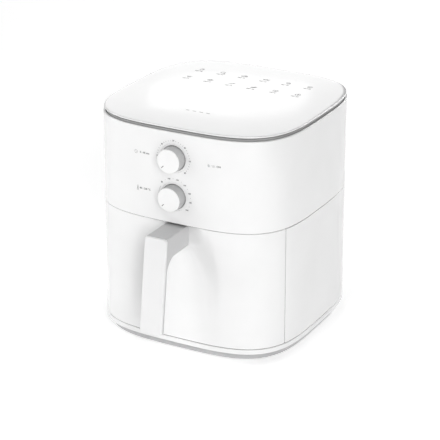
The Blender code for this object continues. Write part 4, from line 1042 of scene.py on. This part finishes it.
def arc(u, v, radius_u, radius_v, start, end, steps=12):
    """Points along part of an oval, clockwise from the top."""
    turns = [math.radians(start + (end - start) * k / steps) for k in range(steps + 1)]
    return [(u + radius_u * math.sin(turn), v + radius_v * math.cos(turn)) for turn in turns]


def oval(u, v, radius_u, radius_v, end=345, steps=12):
    """A run round an oval, closed."""
    return arc(u, v, radius_u, radius_v, 0, end, steps), True


def line(*points):
    """A run from point to point, left open."""
    return points, False


def loop(*points):
    """A run from point to point and back to the first."""
    return points, True


timer_z, temp_z = ((low.z + high.z) / 2 for low, high in cups.values())
TYPE_HEIGHT, NUMBER_RING, TICK_RING, TICK_HALF, TICK_PEN = 0.0019, 0.0228, 0.0225, 0.0006, 0.0004
timer_art = []
for minutes in range(0, 61, 2):
    turn = math.radians(-135 + 4.5 * minutes)
    reach = Vector((math.sin(turn), math.cos(turn)))
    dial_middle = Vector((0, timer_z))
    if minutes % 10 == 0 and minutes:
        timer_art.append(lettering(str(minutes), TYPE_HEIGHT, *(dial_middle + reach * NUMBER_RING)))
    else:
        inner, outer = (dial_middle + reach * (TICK_RING + step) for step in (-TICK_HALF, TICK_HALF))
        timer_art.append(strokes([line(inner, outer)], TICK_PEN))
printed("timer_scale", timer_art, on_front)

DEGREE_RING, DOT_RADIUS, SWEEP_RADIUS, SWEEP_PEN = 0.0234, 0.00015, 0.0212, 0.00025
temp_art = []
for step in range(13):
    turn = math.radians(-45 + 14.4 * step)
    place = Vector((0, temp_z)) + Vector((math.sin(turn), math.cos(turn))) * DEGREE_RING
    if step % 2 == 0:
        temp_art.append(lettering(str(80 + 10 * step), TYPE_HEIGHT, *place))
    else:
        temp_art.append(strokes([oval(*place, DOT_RADIUS, DOT_RADIUS, 330, 5)], TICK_PEN))
temp_art.append(strokes([line(*arc(0, temp_z, SWEEP_RADIUS, SWEEP_RADIUS, -130, -56, 20))], SWEEP_PEN))
printed("temp_scale", temp_art, on_front)

# A clock, a thermometer and three heat waves, each with a caption beside it.
PEN, CAPTION_HEIGHT, CAPTION_U = 0.0003, 0.0024, -0.0410
clock_u, clock_v, clock_radius = -0.0536, timer_z - 0.0004, 0.0021
hands = line((clock_u, clock_v + 0.0013), (clock_u, clock_v - 0.0001), (clock_u + 0.0010, clock_v - 0.0005))
bulb_u, bulb_v, bulb_radius, tube = -0.0518, temp_z + 0.0004, 0.0012, 0.0007
thermometer = line(
    (bulb_u - tube, bulb_v + 0.0010), (bulb_u - tube, bulb_v + 0.0047), (bulb_u, bulb_v + 0.0053),
    (bulb_u + tube, bulb_v + 0.0047), (bulb_u + tube, bulb_v + 0.0010),
)
label_art = [
    strokes([oval(clock_u, clock_v, clock_radius, clock_radius, 345, 23)], PEN),
    strokes([hands], PEN),
    lettering("0 - 60 min", CAPTION_HEIGHT, CAPTION_U, timer_z - 0.0002),
    strokes([line(*arc(bulb_u, bulb_v, bulb_radius, bulb_radius, 35, 325, 14))], PEN),
    strokes([thermometer], PEN),
    strokes([line((bulb_u, bulb_v), (bulb_u, bulb_v + 0.0034))], 0.0005),
    lettering("80 - 200 \u00b0C", CAPTION_HEIGHT, CAPTION_U, temp_z + 0.0027),
]
WAVE_PITCH, WAVE_STEP = 0.0015, 0.0004
for wave in range(3):
    u, v = lens_middle.x + 0.0045 + WAVE_PITCH * wave, lens_middle.z - 0.0013
    crests = [(u + WAVE_STEP * math.sin(k * 0.9), v + WAVE_STEP * k) for k in range(8)]
    label_art.append(strokes([line(*crests)], PEN))
label_art.append(lettering("ON", CAPTION_HEIGHT, lens_middle.x + 0.0127, lens_middle.z + 0.0001))
printed("front_labels", label_art, on_front)

# The lid's chart: twelve plain food pictures in two rows, each with its degrees and minutes.
CHART = (
    (200, 18, [  # chips in a cup
        loop((-0.5, 0.2), (-0.35, -0.9), (0.35, -0.9), (0.5, 0.2)), line((-0.35, 0.2), (-0.4, 0.8)),
        line((-0.1, 0.2), (-0.1, 1.0)), line((0.15, 0.2), (0.2, 0.9)), line((0.35, 0.2), (0.45, 0.7)),
    ]),
    (190, 25, [  # drumstick
        oval(-0.2, 0.25, 0.65, 0.6), line((0.25, -0.15), (0.75, -0.65)),
        oval(0.82, -0.78, 0.18, 0.18, 330, 8),
    ]),
    (180, 12, [  # steak
        oval(0, 0, 0.95, 0.6), oval(0.3, 0.1, 0.25, 0.18, 340), line((-0.6, -0.1), (-0.1, -0.3)),
    ]),
    (180, 15, [  # fish
        oval(-0.15, 0, 0.7, 0.42), loop((0.5, 0), (0.95, 0.4), (0.95, -0.4)),
        oval(-0.5, 0.1, 0.07, 0.07, 320, 6),
    ]),
    (180, 10, [  # prawn
        line(*arc(0, 0, 0.75, 0.7, -60, 200, 16)), line(*arc(0, 0, 0.4, 0.35, -60, 200, 12)),
        line((-0.65, 0.35), (-0.35, 0.18)),
    ]),
    (160, 25, [  # cupcake
        loop((-0.6, 0), (-0.4, -0.8), (0.4, -0.8), (0.6, 0)), line(*arc(0, 0, 0.7, 0.6, -90, 90)),
        line((-0.15, -0.1), (-0.12, -0.7)), line((0.15, -0.1), (0.12, -0.7)),
    ]),
    (180, 9, [  # pizza
        loop((-0.85, 0.5), (0.85, 0.5), (0, -0.9)), oval(-0.2, 0.1, 0.14, 0.14, 330, 8),
        oval(0.25, 0.2, 0.12, 0.12, 330, 8),
    ]),
    (180, 14, [oval(0, 0, 0.85, 0.6), oval(0, 0.05, 0.42, 0.3)]),  # bun
    (160, 12, [  # carrot
        loop((-0.8, -0.6), (0.1, -0.2), (0.4, 0.2), (0.1, 0.5), (-0.3, 0.1)), line((0.3, 0.35), (0.8, 0.8)),
        line((0.35, 0.3), (0.9, 0.35)),
    ]),
    (200, 10, [  # skewer
        line((-0.9, -0.6), (0.9, 0.6)), oval(-0.4, -0.26, 0.26, 0.24, 340), oval(0.02, 0.02, 0.26, 0.24, 340),
        oval(0.44, 0.3, 0.26, 0.24, 340),
    ]),
    (170, 8, [  # toast
        loop((-0.7, -0.6), (-0.7, 0.3), (-0.45, 0.6), (0.45, 0.6), (0.7, 0.3), (0.7, -0.6)),
        oval(0, -0.05, 0.2, 0.2, 340),
    ]),
    (180, 20, [  # apple
        loop(*arc(-0.35, 0, 0.4, 0.6, -180, 150)), loop(*arc(0.35, 0, 0.4, 0.6, -150, 180)),
        line((0, 0.5), (0.1, 0.9)),
    ]),
)
CHART_PITCH, BACK_ROW, FRONT_ROW, PICTURE, CHART_PEN = 0.03168, 0.079, 0.0435, 0.0046, 0.0007
chart_art = []
for i, (degrees, minutes, picture) in enumerate(CHART):
    u = CHART_PITCH * (i % 6 - 2.5)
    v = AXIS_Y + (BACK_ROW if i < 6 else FRONT_ROW)
    scaled = [([(u + PICTURE * x, v + PICTURE * y) for x, y in points], looped) for points, looped in picture]
    chart_art.append(strokes(scaled, CHART_PEN))
    chart_art.append(lettering(f"{degrees}\u00b0 {minutes}", 0.0025, u - 0.001, v - 0.0078))
DASHES, DASH_PITCH, DASH_LENGTH, DASH_PEN = 4, 0.0096, 0.0048, 0.0013
for k in range(DASHES):
    u, v = DASH_PITCH * (k - 1.75), AXIS_Y - 0.075
    chart_art.append(strokes([line((u, v), (u + DASH_LENGTH, v))], DASH_PEN))
printed("lid_chart", chart_art, on_lid)
